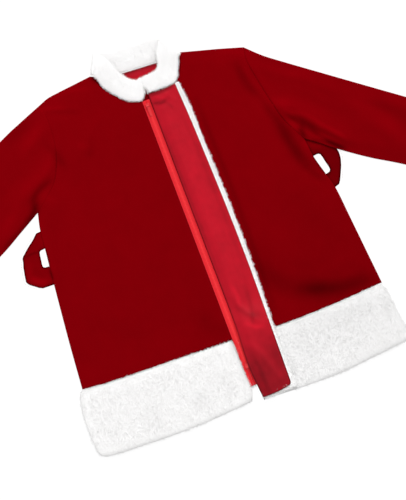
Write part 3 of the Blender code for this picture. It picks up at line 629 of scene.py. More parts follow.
def distanceTo(points, line):
    best = np.full(points.shape[:-1], 1e9)
    where = np.zeros(points.shape[:-1])
    for index, (start, end) in enumerate(zip(line, line[1:])):
        run = end - start
        share = np.clip(((points - start) @ run) / (run @ run), 0.0, 1.0)
        found = np.linalg.norm(points - start - share[..., None] * run, axis=-1)
        nearer = found < best
        best = np.where(nearer, found, best)
        where = np.where(nearer, (index + share) / (len(line) - 1), where)
    return best, where


def nearestOf(points, names, cut):
    lines = [curveThrough(cut[name], np.linspace(0, 1, 40)) for name in names]
    return np.min([distanceTo(points, line)[0] for line in lines], axis=0)


def foldHeight(points, rows):
    total = np.zeros(points.shape[:-1])
    for x0, y0, x1, y1, x2, y2, halfWidth, height in rows:
        line = curveThrough(((x0, y0), (x1, y1), (x2, y2)), np.linspace(0, 1, 9))
        away, along = distanceTo(points, line)
        fade = 1.0 - foldFade * (2.0 * along - 1.0) ** 4
        total += height * fade * bell(away, halfWidth)
    return total


def unevenness(points, size, seed):
    # smooth unevenness between -1 and 1, with lumps of about this size in mm
    flat = points.reshape(-1, points.shape[-1]) / size
    found = [noise.noise(Vector((p[0], p[1], seed))) for p in flat]
    return np.array(found).reshape(points.shape[:-1])


def addLumps(base, points, rows):
    # unevenness in several sizes. Columns: height, size, seed.
    for height, size, seed in rows:
        base = base + height * unevenness(points, size, seed)
    return base


def edgeDistance(points):
    body = nearestOf(points, ("shoulderRight", "sideRight", "shoulderLeft", "sideLeft"), bodyCut)
    arms = nearestOf(points, ("topRight", "underRight", "topLeft", "underLeft"), sleeveCut)
    return np.minimum(body, arms)


def sleeveFloor(points):
    x, y, level, reach, height = layers["sleeveOverLoop"]
    away = np.linalg.norm(points - (x, y), axis=-1)
    return height * (1.0 - smoothStep(level, reach, away))


def underside(points, away=None):
    # underside of the upper layer of cloth, in mm over the floor
    away = edgeDistance(points) if away is None else away
    low = layers["back"] + layers["gap"]
    lying = low + np.maximum((layers["air"] + foldHeight(points, mainFolds))
                             * smoothStep(0, layers["edgeReach"], away), 0.0)
    hem = smoothStep(layers["hemSeam"] + layers["hemClimb"], layers["hemSeam"], points[..., 1])
    lying = lying + (np.maximum(layers["overHem"], lying) - lying) * hem
    return np.maximum(lying, sleeveFloor(points) + low)


velvetSizes = {
    "lumps": ((0.55, 70, 3.1), (0.3, 26, 8.4)), "lumpsFrom": (1.0, 16.0),
    # along each armhole seam. Columns: height, place beside the seam, reach.
    "seams": ((-0.08, 0.0, 3.0), (0.10, 7.5, 4.2)), "seamsFrom": (0.5, 8.0),
    "least": 0.98,
    # darker down the body and towards the lower corner, and the unevenness of the nap
    "darkerDown": (0.07, -60, -560), "darkerCorner": (0.09, -180, -520, 60, 300),
    "napLumps": ((0.035, 60, 12.3), (0.025, 22, 15.1)),
}


def velvetTop(points):
    # upper side of the velvet, with its small creases and the dip along each armhole seam
    s = velvetSizes
    away = edgeDistance(points)
    fine = addLumps(foldHeight(points, smallCreases), points, s["lumps"])
    beside = nearestOf(points, ("armholeRight", "armholeLeft"), bodyCut)
    seam = sum(height * bell(beside - place, reach) for height, place, reach in s["seams"])
    top = underside(points, away) + layers["velvet"] + fine * smoothStep(*s["lumpsFrom"], away)
    top = top + seam * smoothStep(*s["seamsFrom"], away)
    return np.maximum(top, layers["back"] + layers["velvet"] * s["least"])


def rolled(away, reach, drop):
    # how far the cloth turns down near an edge
    return drop * (1.0 - domed(away, reach))


def gridOf(name, places):
    # a grid of faces whose points lie at these places in metres
    rows, columns = places.shape[:2]
    deselectAll()
    bpy.ops.mesh.primitive_grid_add(x_subdivisions=columns - 1, y_subdivisions=rows - 1, size=1)
    piece = bpy.context.object
    piece.name = piece.data.name = name
    setPlaces(piece, places)
    return piece


def placesOf(piece):
    places = np.zeros(len(piece.data.vertices) * 3)
    piece.data.vertices.foreach_get("co", places)
    return places.reshape(-1, 3)


def setPlaces(piece, places):
    piece.data.vertices.foreach_set("co", places.reshape(-1))
    piece.data.update()


def giveCut(piece, cut):
    # where each point lies on the flat cut, as the UV map
    corners = np.zeros(len(piece.data.loops), np.int32)
    piece.data.loops.foreach_get("vertex_index", corners)
    piece.data.uv_layers.active.data.foreach_set("uv", cut[corners].reshape(-1))


def faceUp(piece):
    if np.mean([face.normal.z for face in piece.data.polygons]) < 0:
        piece.data.flip_normals()
    return piece


def layCloth(name, heights, grid):
    # a grid of cloth put at its place, with its own cut in metres as its UV map
    places = np.dstack([grid[..., :2] * mm + zipTop, heights * mm])
    piece = gridOf(name, places)
    across = np.cumsum(np.linalg.norm(np.diff(places, axis=1, prepend=places[:, :1]), axis=2), axis=1)
    up = np.cumsum(np.linalg.norm(np.diff(places, axis=0, prepend=places[:1]), axis=2), axis=0)
    giveCut(piece, np.dstack([across, up]).reshape(-1, 2))
    return faceUp(piece)


def giveShade(piece, label, lightness):
    painted = piece.data.attributes.new(label, "FLOAT", "POINT")
    painted.data.foreach_set("value", np.clip(lightness, 0.25, 1.7).reshape(-1))
    return piece


def giveNapAndPaintedLight(piece, grid, paintedShade=0.0):
    # the velvet's lightness at each point: painted highlights and painted shade of its folds, with some nap,
    # darker down the body, less any painted shade given
    s = velvetSizes
    down, start, end = s["darkerDown"]
    lightness = 1 + foldHeight(grid, napAndPaintedLightRows) - down * smoothStep(start, end, grid[..., 1])
    corner, start, end, inner, outer = s["darkerCorner"]
    lightness -= corner * smoothStep(start, end, grid[..., 1]) * smoothStep(inner, outer, grid[..., 0])
    return giveShade(piece, "napAndPaintedLight", addLumps(lightness, grid, s["napLumps"]) - paintedShade)


def shapeWith(piece, kind, **settings):
    choose(piece)
    change = piece.modifiers.new(kind.title(), kind)
    for key, value in settings.items():
        setattr(change, key, value)
    bpy.ops.object.modifier_apply(modifier=change.name)
    return piece


def joinPieces(pieces):
    deselectAll()
    for piece in pieces:
        piece.select_set(True)
    bpy.context.view_layer.objects.active = pieces[0]
    bpy.ops.object.join()
    return pieces[0]


def mergeNear(piece, distance, faceOut=False):
    choose(piece)
    bpy.ops.object.mode_set(mode="EDIT")
    bpy.ops.mesh.select_all(action="SELECT")
    bpy.ops.mesh.remove_doubles(threshold=distance * mm)
    if faceOut:
        bpy.ops.mesh.normals_make_consistent(inside=False)
    bpy.ops.object.mode_set(mode="OBJECT")


def giveWall(piece, thickness):
    return shapeWith(piece, "SOLIDIFY", thickness=thickness * mm, offset=-1.0, use_even_offset=False)


def joinSides(top, under):
    # upper and under side of one slab, which meet all round its edge
    under.data.flip_normals()
    slab = joinPieces([top, under])
    mergeNear(slab, 0.02, faceOut=True)
    return slab


def finishPiece(piece, material, nodes=(), body="coat", crisp=False):
    piece.data.materials.clear()
    piece.data.materials.append(material)
    choose(piece)
    if crisp:
        bpy.ops.object.shade_smooth_by_angle(angle=math.radians(35))
    else:
        bpy.ops.object.shade_smooth()
    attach(piece, body)
    if nodes:
        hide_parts(*nodes)
    return piece


# Fronts and back of the body
bodySizes = {
    "wall": 1.7, "rowsBelow": 88, "rowsArmhole": 46, "rowsNeck": 24, "columns": 58,
    "roll": 3.6, "rollDrop": 2.1, "edgeDrop": 0.9,
    "cuts": {"front_right": (0.357, 0.67, 0.192), "front_left": (0.345, 0.66, 0.178),
             "back": (0.715, 0.67, 0.40)},
}


def makeFront(name, side, hem, shoulder):
    s = bodySizes
    across = bothEnds(250, s["columns"])
    armholeRows, neckRows = lastEnd(270, s["rowsArmhole"]), lastEnd(140, s["rowsNeck"])
    below = s["rowsBelow"] + len(armholeRows) - len(neckRows)
    grid = fillBetween(
        curveThrough(hem, across), curveThrough(shoulder, across),
        joinLines(curveThrough(bodyCut["edge" + side], np.linspace(0, 1, below)),
                  curveThrough(bodyCut["neck" + side], neckRows)),
        joinLines(curveThrough(bodyCut["side" + side][::-1], np.linspace(0, 1, s["rowsBelow"])),
                  curveThrough(bodyCut["armhole" + side][::-1], armholeRows)))
    outer = nearestOf(grid, ("shoulder" + side, "side" + side), bodyCut)
    inner = nearestOf(grid, ("edge" + side,), bodyCut)
    heights = velvetTop(grid) - rolled(outer, s["roll"], s["rollDrop"]) - rolled(inner, 2.0, s["edgeDrop"])
    return giveWall(giveNapAndPaintedLight(layCloth(name, heights, grid), grid), s["wall"])


def makeBack():
    s = bodySizes
    top = joinLines(curveThrough(bodyCut["shoulderRight"][::-1], bothEnds(130, 12)),
                    curveThrough(bodyCut["neckBack"], np.linspace(0, 1, 26)),
                    curveThrough(bodyCut["shoulderLeft"], bothEnds(140, 12)))
    up = joinLines(curveThrough(bodyCut["sideRight"][::-1], np.linspace(0, 1, 44)),
                   curveThrough(bodyCut["armholeRight"][::-1], lastEnd(270, 26)))
    right = joinLines(curveThrough(bodyCut["sideLeft"][::-1], np.linspace(0, 1, 44)),
                      curveThrough(bodyCut["armholeLeft"][::-1], lastEnd(270, 26)))
    grid = fillBetween(curveThrough(bodyCut["hemBack"], shareOf(top)), top, up, right)
    outer = nearestOf(grid, ("sideRight", "sideLeft", "shoulderRight", "shoulderLeft"), bodyCut)
    piece = giveNapAndPaintedLight(layCloth("backPanel", 1.9 - rolled(outer, 2.0, 0.9), grid), grid)
    return giveWall(piece, 1.8)


frontRight = makeFront("frontRightPanel", "Right", bodyCut["hemRight"][::-1], bodyCut["shoulderRight"])
frontLeft = makeFront("frontLeftPanel", "Left", bodyCut["hemLeft"], bodyCut["shoulderLeft"])
backPanel = makeBack()
for piece, node in ((frontRight, "front_right"), (frontLeft, "front_left"), (backPanel, "back")):
    finishPiece(piece, velvet, (node,))
print("body panels laid")

# Sleeves, each a tube pressed flat
sleeveSizes = {
    "wall": 1.6, "columns": 32, "rows": 96, "foldRadius": 2.15, "hemDepth": 20, "hemDip": 0.7,
    "hemReach": 1.6, "overBody": 1.6, "lift": 0.04,     # how far the sleeve's seam lies over the body's edge
    "cuts": {"sleeve_right": (0.40, 0.60, 0.185), "sleeve_left": (0.42, 0.62, 0.163)},
}


def makeSleeve(name, side):
    s = sleeveSizes
    across = bothEnds(150, s["columns"])
    along = np.linspace(0, 1, s["rows"])
    topLine = curveThrough(sleeveCut["top" + side], along)
    underLine = curveThrough(sleeveCut["under" + side], along)
    cuff = topLine[-1] + across[:, None] * (underLine[-1] - topLine[-1])
    grid = fillBetween(curveThrough(bodyCut["armhole" + side], across), cuff, topLine, underLine)
    low, high = sleeveFloor(grid), velvetTop(grid)
    inner = grid[0] - grid[2]
    fade = np.sin(across * math.pi)[:, None]
    grid[0] += s["overBody"] * inner / np.linalg.norm(inner, axis=1)[:, None] * fade
    high[0] = velvetTop(grid[0]) + s["lift"]
    high[1] += s["lift"]
    fromCuff = distanceTo(grid, cuff)[0]
    high = high - s["hemDip"] * bell(fromCuff - s["hemDepth"], s["hemReach"])
    away = np.minimum(distanceTo(grid, topLine)[0], distanceTo(grid, underLine)[0])
    middle, half = (low + high) / 2, (high - low) / 2 * domed(away, s["foldRadius"])
    ring = np.concatenate([grid, grid[:, -2::-1]], axis=1)
    heights = np.concatenate([middle + half, (middle - half)[:, -2::-1]], axis=1)
    piece = giveNapAndPaintedLight(layCloth(name, heights, ring), ring)
    mergeNear(piece, 0.02, faceOut=True)
    return giveWall(piece, s["wall"])


for name, side, node in (("sleeveRightTube", "Right", "sleeve_right"),
                         ("sleeveLeftTube", "Left", "sleeve_left")):
    piece = finishPiece(makeSleeve(name, side), velvet, (node,))
print("sleeves laid")

# Fur: a soft underlayer for each band, and tufts that grow out of it
furSizes = {
    "tuftKinds": 4, "blades": 7, "bladeWidth": 0.85, "bladeLength": 10.0, "spread": 1.5, "bend": 2.2,
    "bladeRows": ((0, 1.0), (0.4, 0.9), (0.75, 0.6), (1, 0.0)),   # share of the length, share of the width
    "density": 3.0e6, "stray": (0.28, 0.28, 0.12), "sizes": (0.78, 1.22), "lowest": 0.1,
    "lean": 0.94, "swirl": 0.20, "swirlSize": 26, "clump": 0.13, "clumpSize": 9,
    "edgeReach": 9, "edgePull": 2.2,
}
rolls = np.random.default_rng(5)


def makeTuft(index):
    # a few curved blades that taper to a point and bend towards +X
    s = furSizes
    blades = []
    for turn in np.linspace(0, 2 * math.pi, s["blades"], endpoint=False):
        facing = turn + rolls.uniform(-0.5, 0.5)
        root = rolls.uniform(0.3, 1.0) * s["spread"] * np.array([math.cos(turn), math.sin(turn)])
        fan = rolls.uniform(0.10, 0.34) * np.array([math.cos(turn), math.sin(turn)])
        length = rolls.uniform(0.72, 1.0)
        side = np.array([-math.sin(facing), math.cos(facing), 0]) * s["bladeWidth"] / 2
        places, cut = [], []
        for share, width in s["bladeRows"]:
            rise = share * length * s["bladeLength"]
            middle = np.array([root[0] + fan[0] * rise + s["bend"] * share ** 2,
                               root[1] + fan[1] * rise, rise])
            places.append((middle - side * width, middle + side * width))
            cut += [(0, share), (1, share)]
        blades.append(gridOf("blade", np.array(places) * mm))
        giveCut(blades[-1], np.array(cut, float))
    tuft = joinPieces(blades)
    tuft.name = tuft.data.name = "tuft%d" % index
    mergeNear(tuft, 0.01)
    return tuft


tuftShelf = bpy.data.collections.new("tufts")
bpy.context.scene.collection.children.link(tuftShelf)
for index in range(furSizes["tuftKinds"]):
    tuft = makeTuft(index)
    for owner in list(tuft.users_collection):
        owner.objects.unlink(tuft)
    tuftShelf.objects.link(tuft)


def furGuide(piece, comb, share, toneAndPaintedShade=1.0):
    # which way the strands are combed at each point, how thickly they grow there, and their shade
    combed = piece.data.attributes.new("comb", "FLOAT_VECTOR", "POINT")
    combed.data.foreach_set("vector", np.asarray(comb, float).reshape(-1))
    grown = piece.data.attributes.new("furShare", "FLOAT", "POINT")
    grown.data.foreach_set("value", np.asarray(share, float).reshape(-1))
    giveShade(piece, "toneAndPaintedShade", np.broadcast_to(toneAndPaintedShade, np.shape(share)))


def growFur(name, skin, spacing, length, seed):
    tree = bpy.data.node_groups.new(name + " growth", "GeometryNodeTree")
    tree.interface.new_socket("Geometry", in_out="INPUT", socket_type="NodeSocketGeometry")
    tree.interface.new_socket("Geometry", in_out="OUTPUT", socket_type="NodeSocketGeometry")
    given, out = tree.nodes.new("NodeGroupInput"), tree.nodes.new("NodeGroupOutput")
    link = tree.links.new

    def named(kind, label):
        node = addNode(tree, "GeometryNodeInputNamedAttribute", {"Name": label}, data_type=kind)
        return node.outputs["Attribute"]

    spots = addNode(tree, "GeometryNodeDistributePointsOnFaces", {
        "Distance Min": spacing * mm, "Density Max": furSizes["density"], "Seed": seed},
        distribute_method="POISSON")
    link(given.outputs[0], spots.inputs["Mesh"])
    link(named("FLOAT", "furShare"), spots.inputs["Density Factor"])
    stray = addNode(tree, "FunctionNodeRandomValue", data_type="FLOAT_VECTOR")
    stray.inputs[0].default_value = [-value for value in furSizes["stray"]]
    stray.inputs[1].default_value = furSizes["stray"]
    combed = addNode(tree, "ShaderNodeVectorMath", operation="ADD")
    link(named("FLOAT_VECTOR", "comb"), combed.inputs[0])
    link(stray.outputs[0], combed.inputs[1])
    leaning = addNode(tree, "ShaderNodeVectorMath", operation="ADD")
    link(spots.outputs["Normal"], leaning.inputs[0])
    link(combed.outputs[0], leaning.inputs[1])
    turned = addNode(tree, "FunctionNodeAxesToRotation")
    link(leaning.outputs[0], turned.inputs[0])
    link(combed.outputs[0], turned.inputs[1])
    shelf = addNode(tree, "GeometryNodeCollectionInfo", {
        "Collection": tuftShelf, "Separate Children": True, "Reset Children": True})
    size = addNode(tree, "FunctionNodeRandomValue", data_type="FLOAT")
    size.inputs[2].default_value = furSizes["sizes"][0] * length
    size.inputs[3].default_value = furSizes["sizes"][1] * length
    kind = addNode(tree, "FunctionNodeRandomValue", data_type="INT")
    kind.inputs[4].default_value = 0
    kind.inputs[5].default_value = furSizes["tuftKinds"] - 1
    kind.inputs["Seed"].default_value = 3
    placed = addNode(tree, "GeometryNodeInstanceOnPoints", {"Pick Instance": True})
    link(spots.outputs["Points"], placed.inputs["Points"])
    link(shelf.outputs[0], placed.inputs["Instance"])
    link(kind.outputs[2], placed.inputs["Instance Index"])
    link(turned.outputs[0], placed.inputs["Rotation"])
    link(size.outputs[1], placed.inputs["Scale"])
    made = addNode(tree, "GeometryNodeRealizeInstances")
    link(placed.outputs[0], made.inputs[0])
    link(made.outputs[0], out.inputs[0])

    choose(skin)
    bpy.ops.object.duplicate()
    pile = bpy.context.object
    pile.name = pile.data.name = name
    growth = pile.modifiers.new("Growth", "NODES")
    growth.node_group = tree
    bpy.ops.object.modifier_apply(modifier=growth.name)
    bpy.data.node_groups.remove(tree)
    places = placesOf(pile)
    places[:, 2] = np.maximum(places[:, 2], furSizes["lowest"] * mm)
    setPlaces(pile, places)
    for label in ("comb", "furShare"):
        if label in pile.data.attributes:
            pile.data.attributes.remove(pile.data.attributes[label])
    print(name, "has", len(pile.data.polygons), "blades' faces")
    return pile


def closedSlab(name, grid, low, high, full, comb, share, toneAndPaintedShade=1.0):
    # a soft slab that carries fur on its upper side
    middle, half = (low + high) / 2, (high - low) / 2 * full
    top = layCloth(name, middle + half, grid)
    furGuide(top, comb, share, toneAndPaintedShade)
    under = layCloth(name + "Under", middle - half, grid)
    furGuide(under, comb, np.zeros_like(share), toneAndPaintedShade)
    return joinSides(top, under)


def patchAt(low, high, first, last, s, t):
    # the surface between four edge tables, at these shares across and up
    a, b = s[None, :, None], t[:, None, None]
    corners = ((1 - b) * ((1 - a) * np.array(low[0]) + a * np.array(low[-1]))
               + b * ((1 - a) * np.array(high[0]) + a * np.array(high[-1])))
    return ((1 - b) * curveThrough(low, s)[None] + b * curveThrough(high, s)[None]
            + (1 - a) * curveThrough(first, t)[:, None] + a * curveThrough(last, t)[:, None] - corners)


def swirlAt(points, size, seed):
    return np.dstack([unevenness(points, size, seed), unevenness(points, size, seed + 31.7)])


def asDirections(flat):
    return np.dstack([flat, np.zeros(flat.shape[:2])])


hemCut = {
    "footRight": ((-366, -719), (-312, -724), (-171, -729), (-60, -724), (-14, -719)),
    "sideRight": ((-366, -557), (-379, -566), (-388, -605), (-390, -660), (-385, -705), (-366, -719)),
    "frontRight": ((-8.5, -572), (-5.6, -600), (-4.8, -640), (-3.5, -695), (-14, -719)),
    "footLeft": ((11, -727), (105, -731), (189, -731), (264, -724), (360, -714)),
    "sideLeft": ((352, -571), (361, -590), (366, -640), (374, -690), (372, -705), (360, -714)),
    "frontLeft": ((10, -574), (10, -650), (11, -727)),
    "footBack": ((-360, -711), (-171, -705), (0, -682), (150, -707), (354, -708)),
    "sideBackRight": ((-365, -557), (-376, -570), (-384, -620), (-383, -700), (-360, -711)),
    "sideBackLeft": ((352, -571), (362, -640), (369, -700), (354, -708)),
}

hemBands = {
    "frontRightHem": {
        "node": "hem_band_front_right", "seam": "hemRight", "foot": "footRight", "first": "sideRight",
        "last": "frontRight", "columns": 84, "rows": 40, "spacing": 2.75, "length": 0.47, "seed": 1,
        "cut": (0.39, 0.165)},
    "frontLeftHem": {
        "node": "hem_band_front_left", "seam": "hemLeft", "foot": "footLeft", "first": "frontLeft",
        "last": "sideLeft", "columns": 80, "rows": 40, "spacing": 2.75, "length": 0.47, "seed": 2,
        "cut": (0.37, 0.165)},
    "backHem": {
        "node": "hem_band_back", "seam": "hemBack", "foot": "footBack", "first": "sideBackRight",
        "last": "sideBackLeft", "columns": 110, "rows": 30, "spacing": 3.6, "length": 0.8, "seed": 3,
        "cut": (0.75, 0.15)},
}
hemSizes = {
    "height": 158.0, "inset": 5.0, "seamInset": 1.5, "backing": 5.6, "backTall": 4.5, "round": 3.4,
    "lumps": 0.7, "lumpSize": 26, "flow": (0.05, -0.22), "pressed": 2.0, "pressedTo": (103, 145),
    "underFlap": 84,     # the flap lies on the fur up to this x, so no strands grow there
    # painted shade along the foot and at the ends, and the left band a little darker
    "toneAndPaintedShade": 0.945, "leftDarker": 0.02, "footDarker": 0.16, "footReach": 6, "endDarker": 0.08, "endReach": 4,
}
# Painted shade of the fur's soft hollows and creases, in the same columns as the velvet's painted light
hemShades = (
    (-245, -650, -236, -680, -230, -705, 18, -0.03),
    (-130, -655, -121, -675, -112, -695, 15, -0.03),
    (-66, -655, -57, -669, -50, -690, 12, -0.03),
    (344, -590, 342, -620, 338, -655, 6, -0.06),
    (322, -612, 310, -616, 298, -622, 4, -0.06),
    (97, -640, 98, -680, 96, -712, 5, -0.06),
    (120, -600, 200, -610, 330, -600, 60, -0.03),
)


def overBackHem(points):
    return layers["overHem"] + 1.5 * smoothStep(-22, -11, points[..., 0]) * (points[..., 0] < 0)


def makeHemBand(name):
    band, s = hemBands[name], hemSizes
    width = np.linalg.norm(np.subtract(hemCut[band["foot"]][0], hemCut[band["foot"]][-1]))
    height, start = s["height"], s["seamInset"]
    across = s["inset"] / width + (1 - 2 * s["inset"] / width) * bothEnds(width, band["columns"])
    down = start / height + (1 - (s["inset"] + start) / height) * bothEnds(height, band["rows"])
    grid = patchAt(bodyCut[band["seam"]], hemCut[band["foot"]], hemCut[band["first"]],
                   hemCut[band["last"]], across, down)
    back = name == "backHem"
    low = np.full(grid.shape[:2], 0.0) if back else overBackHem(grid)
    x = grid[..., 0]
    pressed = s["pressed"] * (1 - smoothStep(*s["pressedTo"], x)) * (x > 0)
    tall = np.full(x.shape, s["backTall"]) if back else s["backing"] - pressed
    high = low + tall + s["lumps"] * unevenness(grid, s["lumpSize"], 2.5)
    away = distanceTo(grid, edgeOf(grid))[0]
    f = furSizes
    flow = np.dstack([s["flow"][0] * np.ones(x.shape), s["flow"][1] * np.ones(x.shape)])
    flow = flow + f["swirl"] * swirlAt(grid, f["swirlSize"], 4.1)
    flow = flow + f["clump"] * swirlAt(grid, f["clumpSize"], 9.2)
    edges = (grid[0], grid[-1], grid[:, 0], grid[:, -1])
    fromEdges = [distanceTo(grid, line)[0] for line in edges]
    for fromEdge, normal in zip(fromEdges, ((0, 1), (0, -1), (-1, 0), (1, 0))):
        near = bell(fromEdge, f["edgeReach"])[..., None]
        flow = flow * (1 - 0.8 * near) + near * f["edgePull"] * np.array(normal)
    share = np.full(x.shape, 1.0)
    if back:
        share = np.clip(1.4 - away / 14, 0, 1)
    elif name == "frontLeftHem":
        share = share * np.where(x < s["underFlap"], 0.0, 1.0)
    # painted shade: darker in the hollows, along the foot and at the ends, and the left band a little darker
    toneAndPaintedShade = s["toneAndPaintedShade"] - s["leftDarker"] * (x > 0) + foldHeight(grid, hemShades)
    toneAndPaintedShade = toneAndPaintedShade + 0.01 * unevenness(grid, 40, 17.2) - s["footDarker"] * bell(fromEdges[1], s["footReach"])
    toneAndPaintedShade -= s["endDarker"] * bell(np.minimum(fromEdges[2], fromEdges[3]), s["endReach"])
    return closedSlab(name, grid, low, high, domed(away, s["round"]), asDirections(flow) * f["lean"],
                      share, toneAndPaintedShade)


for name, band in hemBands.items():
    backing = makeHemBand(name)
    pile = growFur(name + "Pile", backing, band["spacing"], band["length"], band["seed"])
    finishPiece(backing, furBacking, (band["node"],))
    finishPiece(pile, fur)
print("hem bands grown")

# Collar, folded in half by the laid jacket
collarCut = {
    "frontRight": (
        (5.5, 18.5, 8.8, 2.6, 50.5, 12.5), (-8.5, 2.5, 8.2, -2.5, 52, 12.6), (-24, 7, 8.2, -8, 54.5, 12.8),
        (-44, 17, 8.2, -19, 63, 13.5), (-77, 56, 8.4, -33.5, 84, 15), (-86, 79, 12, -44, 112, 16.8)),
    "back": (
        (-72, 84, 4, -52, 142, 4), (-42, 78, 4, -28, 140, 4), (0, 75, 4, 8, 133, 4),
        (42, 72.5, 4, 38, 131, 4), (80, 70, 4, 60, 130, 4)),
    "frontLeft": (
        (97, 46, 12, 58, 94, 16.8), (82, 18, 8.4, 53, 70, 14.5), (62, 12.8, 8.2, 43, 57, 13.5),
        (36, 12.5, 8.2, 22, 55, 12.8), (10, 14.5, 8.2, 5.4, 50.8, 12.5)),
    "foldRight": (-88, 94, -64, 143), "foldLeft": (103, 67, 75, 121),
    "foldRadius": 6.6, "turns": (25, 60, 90, 120, 155), "backHeight": 4.0,
}
collarSizes = {
    "sections": 120, "around": 24, "half": 2.7, "margin": 0.04, "spacing": 2.6, "length": 0.44,
    "overlap": 11.0, "endRound": 1.4, "seed": 7, "cut": (0.42, 0.06),
    "combFrom": 0.40, "combPull": 4.2, "endPull": 1.2, "wave": 0.8, "waveSize": 14,
}


def collarRows():
    # bottom point, top point and turn of the outer face, from one front end to the other
    rows = [(*row, 0) for row in collarCut["frontRight"]]
    for axis, sense, turns in (("foldRight", -1, collarCut["turns"]),
                               ("foldLeft", 1, collarCut["turns"][::-1])):
        if sense > 0:
            rows += [(*row, 180) for row in collarCut["back"]]
        low, high = np.array(collarCut[axis][:2], float), np.array(collarCut[axis][2:], float)
        along = (high - low) / np.linalg.norm(high - low)
        out = np.array([along[1], -along[0]]) * sense
        for turn in turns:
            shift = out * collarCut["foldRadius"] * math.sin(math.radians(turn))
            z = collarCut["backHeight"] + collarCut["foldRadius"] * (1 + math.cos(math.radians(turn)))
            rows.append((*(low + shift), z, *(high + shift), z, turn if sense < 0 else 360 - turn))
    return rows + [(*row, 360) for row in collarCut["frontLeft"]]


def makeCollar():
    s = collarSizes
    rows = curveThrough(collarRows(), np.linspace(0, 1, s["sections"]))
    bottom, top, turn = rows[:, :3], rows[:, 3:6], np.radians(rows[:, 6])
    rise = top - bottom
    flat = np.cross(rise, (0, 0, 1))
    flat = flat / np.linalg.norm(flat, axis=1)[:, None]
    outward = np.cos(turn)[:, None] * np.array((0, 0, 1)) - np.sin(turn)[:, None] * flat
    angle = np.linspace(0, 2 * math.pi, s["around"] + 1)
    height = 0.5 - 0.5 * np.sign(np.cos(angle)) * np.abs(np.cos(angle)) ** 0.55
    depth = np.sign(np.sin(angle)) * np.abs(np.sin(angle)) ** 0.5
    height = s["margin"] + (1 - 2 * s["margin"]) * height
    count = np.arange(s["sections"])
    fullEnd = domed(np.minimum(count, count[::-1]), s["endRound"])
    places = (bottom[:, None] + height[None, :, None] * rise[:, None]
              + (s["half"] * fullEnd[:, None] * depth[None])[..., None] * outward[:, None])
    along = rise / np.linalg.norm(rise, axis=1)[:, None]
    tangent = np.gradient((bottom + top) / 2, axis=0)
    tangent = tangent / np.linalg.norm(tangent, axis=1)[:, None]
    # the two ends meet from a quarter of their height upwards
    closing = (bell(s["sections"] - 1 - count, 4.0) - bell(count, 4.0))[:, None]
    places += (s["overlap"] / 2 * closing * smoothStep(0.22, 0.5, height)[None])[..., None] * tangent[:, None]
    side = np.where(count < 5, -1.0, np.where(count > s["sections"] - 6, 1.0, 0.0))
    upward = ((height - s["combFrom"]) * s["combPull"])[None, :, None]
    comb = (np.broadcast_to(upward, places.shape) * along[:, None]
            + side[:, None, None] * s["endPull"] * tangent[:, None])
    wave = unevenness(places[..., :2], s["waveSize"], 6.6)[..., None]
    comb = comb + s["wave"] * wave * tangent[:, None]
    piece = layCloth("collarBand", places[..., 2], places[..., :2])
    inside = bell(rows[:, 6] - 180, 60)[:, None]
    furGuide(piece, comb, np.ones(places.shape[:2]), 1 - 0.04 * inside)
    mergeNear(piece, 0.02, faceOut=True)
    return piece


collarBand = makeCollar()
collarPile = growFur("collarPile", collarBand, collarSizes["spacing"], collarSizes["length"],
                     collarSizes["seed"])
finishPiece(collarBand, furBacking, ("collar",))
finishPiece(collarPile, fur)
print("collar grown")

# Open flap: its fur lies below and its satin lining faces up
flapCut = {
    "hinge": ((9.6, -717), (6.9, -686), (3.9, -645), (5.6, -600), (8.6, -550), (9.3, -480), (9.3, -280),
              (9.6, 12)),
    "top": ((9.6, 12), (45, 10.4), (75, 13)),
    "free": ((80.5, -711), (83.2, -583), (85.7, -428), (85.1, -290), (82.6, -180), (79.7, -80), (75, 13)),
    "foot": ((9.6, -717), (45, -716), (80.5, -711)),
    "furFree": ((93.5, -713), (92, -620), (98, -440), (98.8, -285), (95.4, -169), (94, -64), (88, 15)),
}
flapSizes = {
    "liningColumns": 24, "liningRows": 190, "satin": 1.0, "stripColumns": 9, "hem": 8.0, "corner": 7.0,
    "spacing": 2.1, "length": 0.46, "seed": 11, "cuts": {"lining": (0.078, 0.74), "fur": (0.105, 0.75)},
    "underSatin": 0.3, "overSatin": 0.2, "wrinkleLumps": ((0.35, 30, 5.5), (0.18, 9, 7.7)),
    "shade": 1.02, "shadeStrength": 1.9, "shadeLumps": ((0.07, 34, 21.3), (0.07, 13, 25.3)),
    "hingeDarker": 0.13, "edgeDarker": 0.40, "footDarker": 0.42,
    "furInset": 4.0, "furLong": 735, "furRows": 120, "furRound": 3.0, "furFoot": 713,
    "furFootDarker": 0.2, "furFootReach": 2.5, "wave": 0.9, "waveSize": 10,
}
# Small wrinkles of the lining, in the same columns as the folds
liningWrinkles = (
    (14, 2, 34, -6, 58, 0, 4, 0.8),
    (12, -14, 30, -22, 50, -18, 4, -0.7),
    (40, 8, 52, -8, 60, -22, 4, 0.7),
    (20, -60, 24, -160, 22, -260, 8, 0.5),
    (62, -80, 66, -200, 64, -330, 9, -0.5),
    (34, -300, 40, -360, 38, -420, 7, 0.6),
    (20, -470, 40, -520, 66, -560, 6, 0.9),
    (66, -430, 56, -500, 40, -560, 5, -0.7),
    (24, -590, 44, -640, 62, -700, 6, 0.9),
    (70, -600, 60, -650, 52, -706, 5, -0.8),
    (14, -640, 24, -670, 30, -706, 4, 0.6),
)
